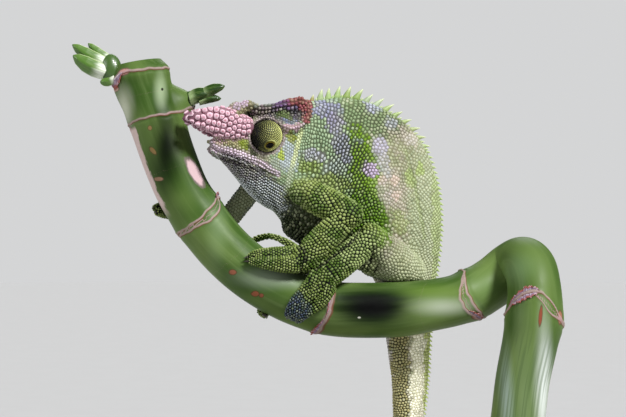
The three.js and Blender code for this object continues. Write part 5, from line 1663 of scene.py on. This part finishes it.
for side, name in BOTH:
    gaze = right_at(EYE["x"]) * side * np.cos(drop) + np.array([0, 0, -np.sin(drop)])
    level = unit(np.cross(gaze, [0, 0, 1]))
    upright = np.cross(level, gaze)

    def gazing(centre, radius, polar, turn):
        """A point of a round form that looks the way the eye looks."""
        ring = level * np.cos(turn)[..., None] + upright * np.sin(turn)[..., None]
        return centre + (gaze * np.cos(polar)[..., None] + ring * np.sin(polar)[..., None]) * radius

    def turret_point(polar, turn):
        """A point of the turret, polar away from where the eye looks."""
        swell = 1 + 0.035 * np.exp(-((polar / 0.5) ** 2)) - 0.5 * np.exp(-((polar / 0.27) ** 4))
        return gazing(eyes[name], (EYE["radius"] - LID) * swell[..., None], polar, turn)

    polar, turn = spans(90, EYE_SIDES, 0.03, np.pi - 0.05)
    more, walls = closed_tube(turret_point(polar * np.ones_like(turn), turn * np.ones_like(polar)))
    turret = new_piece(f"turret_{name}", more + PLANE, walls, turret_finish)
    crowns = np.concatenate([np.repeat(np.interp(polar[:, 0], [0.4, 0.5], [1.0, 0.1]), EYE_SIDES), [1, 0]])
    limbs = np.concatenate([np.repeat(polar[:, 0], EYE_SIDES), [0, np.pi]])
    store(turret, root=more, crown=crowns, tone=np.full(len(more), 0.5), limb=limbs)
    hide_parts(f"eye_turret_{name}")
    sizes, polars, turns_at = [], [], []
    at, end = GRAIN_SIZES[0][0], GRAIN_SIZES[-1][0]
    while at < end:
        start = rng.random()
        size = np.interp(at, *zip(*GRAIN_SIZES))
        count = int(round(2 * np.pi * GRAIN_LEVEL * np.sin(at) / size))
        polars += [at] * count
        turns_at += [(k + start) / count * 2 * np.pi for k in range(count)]
        sizes += [size] * count
        at += size * 0.92 / GRAIN_LEVEL
    polars, turns_at, sizes = np.array(polars), np.array(turns_at), np.array(sizes)
    where = turret_point(polars, turns_at)
    set_scales(
        f"turret_grains_{name}", turret_finish, "eye_turret", BVHTree.FromPolygons(more.tolist(), walls),
        point=where, out=unit(where - eyes[name]), size=sizes, t=polars / np.pi, turn=turns_at, limb=polars,
        grain=unit(turret_point(polars, turns_at + 0.02) - turret_point(polars, turns_at - 0.02)),
        rise=0.36, full=0.6, fill=0.86, round=0.7,
        tone=rng.random(len(sizes)), weight=rng.uniform(0.85, 1.15, len(sizes)),
    )
    polar, turn = spans(48, EYE_SIDES, 0.02, np.pi - 0.02)
    centre = eyes[name] + gaze * (EYE["radius"] - BALL_SUNK)
    more, walls = closed_tube(gazing(centre, BALL_RADIUS, polar, turn))
    ball = new_piece(f"ball_{name}", more + PLANE, walls, ball_finish)
    store(ball, limb=np.concatenate([np.repeat(polar[:, 0], EYE_SIDES), [0, np.pi]]))
    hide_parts(f"eyeball_{name}")

# ---------------------------------------------------------------- claws
# One small, sharp, curved claw of dark horn at the end of each toe.

claw_finish = Finish("claw_horn")
layers = claw_finish.noise(claw_finish.place(), 2.5, 3.0)
colour = layers.mix((34, 32, 30), (72, 66, 58))
claw_finish.show(Base_Color=colour, Roughness=0.22 + layers * 0.2, Normal=claw_finish.bump(layers, 0.04, 0.4))
turns = spans(2, 10)[1].T
hooks = []
for before, tip, out in claws:
    ahead = unit(tip - before)
    across = unit(np.cross(ahead, out))
    out = np.cross(across, ahead)
    oval = across * np.cos(turns) * 0.42 + out * np.sin(turns) * 0.5
    rings = []
    for share in (0, 0.2, 0.45, 0.7, 0.9, 1.0):
        full = (1 - share) ** 0.85 if share < 1 else 0.03
        centre = tip + ahead * (1.75 * share - 0.2) + out * (0.25 * np.sin(np.pi * share) - 0.35 * share**2)
        rings.append(centre + oval * full)
    hooks.append(np.array(rings))
points, faces = joined(hooks)
claw_piece = new_piece("claws", np.array(points) + PLANE, faces, claw_finish)

# ---------------------------------------------------------------- floor, lights and camera
# A pale studio floor, large soft lamps, and the camera in front of the animal's left side.

floor_finish = Finish("studio_floor", Roughness=0.9)
grain = floor_finish.noise(floor_finish.place(), 0.05, 2.0)
floor_finish.show(Base_Color=grain.mix((182, 182, 182), (186, 186, 186)))
radius = np.array([200, 900, 2400])[:, None]
turns = np.radians(np.arange(0, 360, 5))
rings = np.broadcast_arrays(radius * np.cos(turns), radius * np.sin(turns), -0.02)
index = np.arange(rings[0].size).reshape(rings[0].shape)
ahead = np.roll(index, -1, axis=1)
faces = np.stack([index[:-1], index[1:], ahead[1:], ahead[:-1]], axis=-1).reshape(-1, 4).tolist()
points = np.stack(rings, axis=-1).reshape(-1, 3)
floor = new_piece("studio_floor", points, faces + [index[0].tolist()], floor_finish, None)

world = bpy.data.worlds.new("studio")
bpy.context.scene.world = world
world.use_nodes = True
sky = world.node_tree
sky.nodes["Background"].inputs["Color"].default_value = (0.9, 0.95, 1, 1)
sky.nodes["Background"].inputs["Strength"].default_value = 0.1
backdrop = sky.nodes.new("ShaderNodeBackground")
backdrop.inputs["Color"].default_value = (0.66, 0.665, 0.67, 1)
seen = sky.nodes.new("ShaderNodeLightPath")
either = sky.nodes.new("ShaderNodeMixShader")
sky.links.new(seen.outputs["Is Camera Ray"], either.inputs[0])
sky.links.new(sky.nodes["Background"].outputs[0], either.inputs[1])
sky.links.new(backdrop.outputs[0], either.inputs[2])
sky.links.new(either.outputs[0], sky.nodes["World Output"].inputs[0])

LAMPS = [  # where each lamp stands, its strength and how wide it looks, in degrees
    ("key", (0.55, -0.56, 0.76), 4.6, 14), ("side", (-0.85, -0.35, 0.38), 1.1, 24),
    ("back", (0.1, 0.8, 0.6), 0.5, 30),
]


def stand(name, data):
    """Put a lamp or camera in the scene."""
    holder = bpy.data.objects.new(name, data)
    bpy.context.scene.collection.objects.link(holder)
    return holder


def facing(run):
    return run.to_track_quat("-Z", "Y").to_euler()


for name, place, power, width in LAMPS:
    lamp = bpy.data.lights.new(name, "SUN")
    lamp.energy = power
    lamp.angle = float(np.radians(width))
    stand(name, lamp).rotation_euler = facing(-Vector(place))
low_lamp = bpy.data.lights.new("low", "SPOT")  # reaches under the stem, onto the tail
low_lamp.energy = 2.3
low_lamp.spot_size = float(np.radians(9.4))
low_lamp.spot_blend = 1.0
low_lamp.shadow_soft_size = 0.02
LOW_LAMP_AT, LOW_LAMP_TO = Vector((70, -340, 30)), Vector((28, 0, 64))
holder = stand("low", low_lamp)
holder.location = LOW_LAMP_AT * MM
holder.rotation_euler = facing(LOW_LAMP_TO - LOW_LAMP_AT)

CAMERA_AT = (-5.44, -560, 123.68)
camera = bpy.data.cameras.new("camera")
camera.lens = 100
camera.sensor_width = 36
camera.clip_start = 0.01
viewer = stand("camera", camera)
viewer.location = Vector(CAMERA_AT) * MM
viewer.rotation_euler = (np.pi / 2, 0, 0)
bpy.context.scene.camera = viewer
bpy.context.scene.view_settings.view_transform = "Standard"
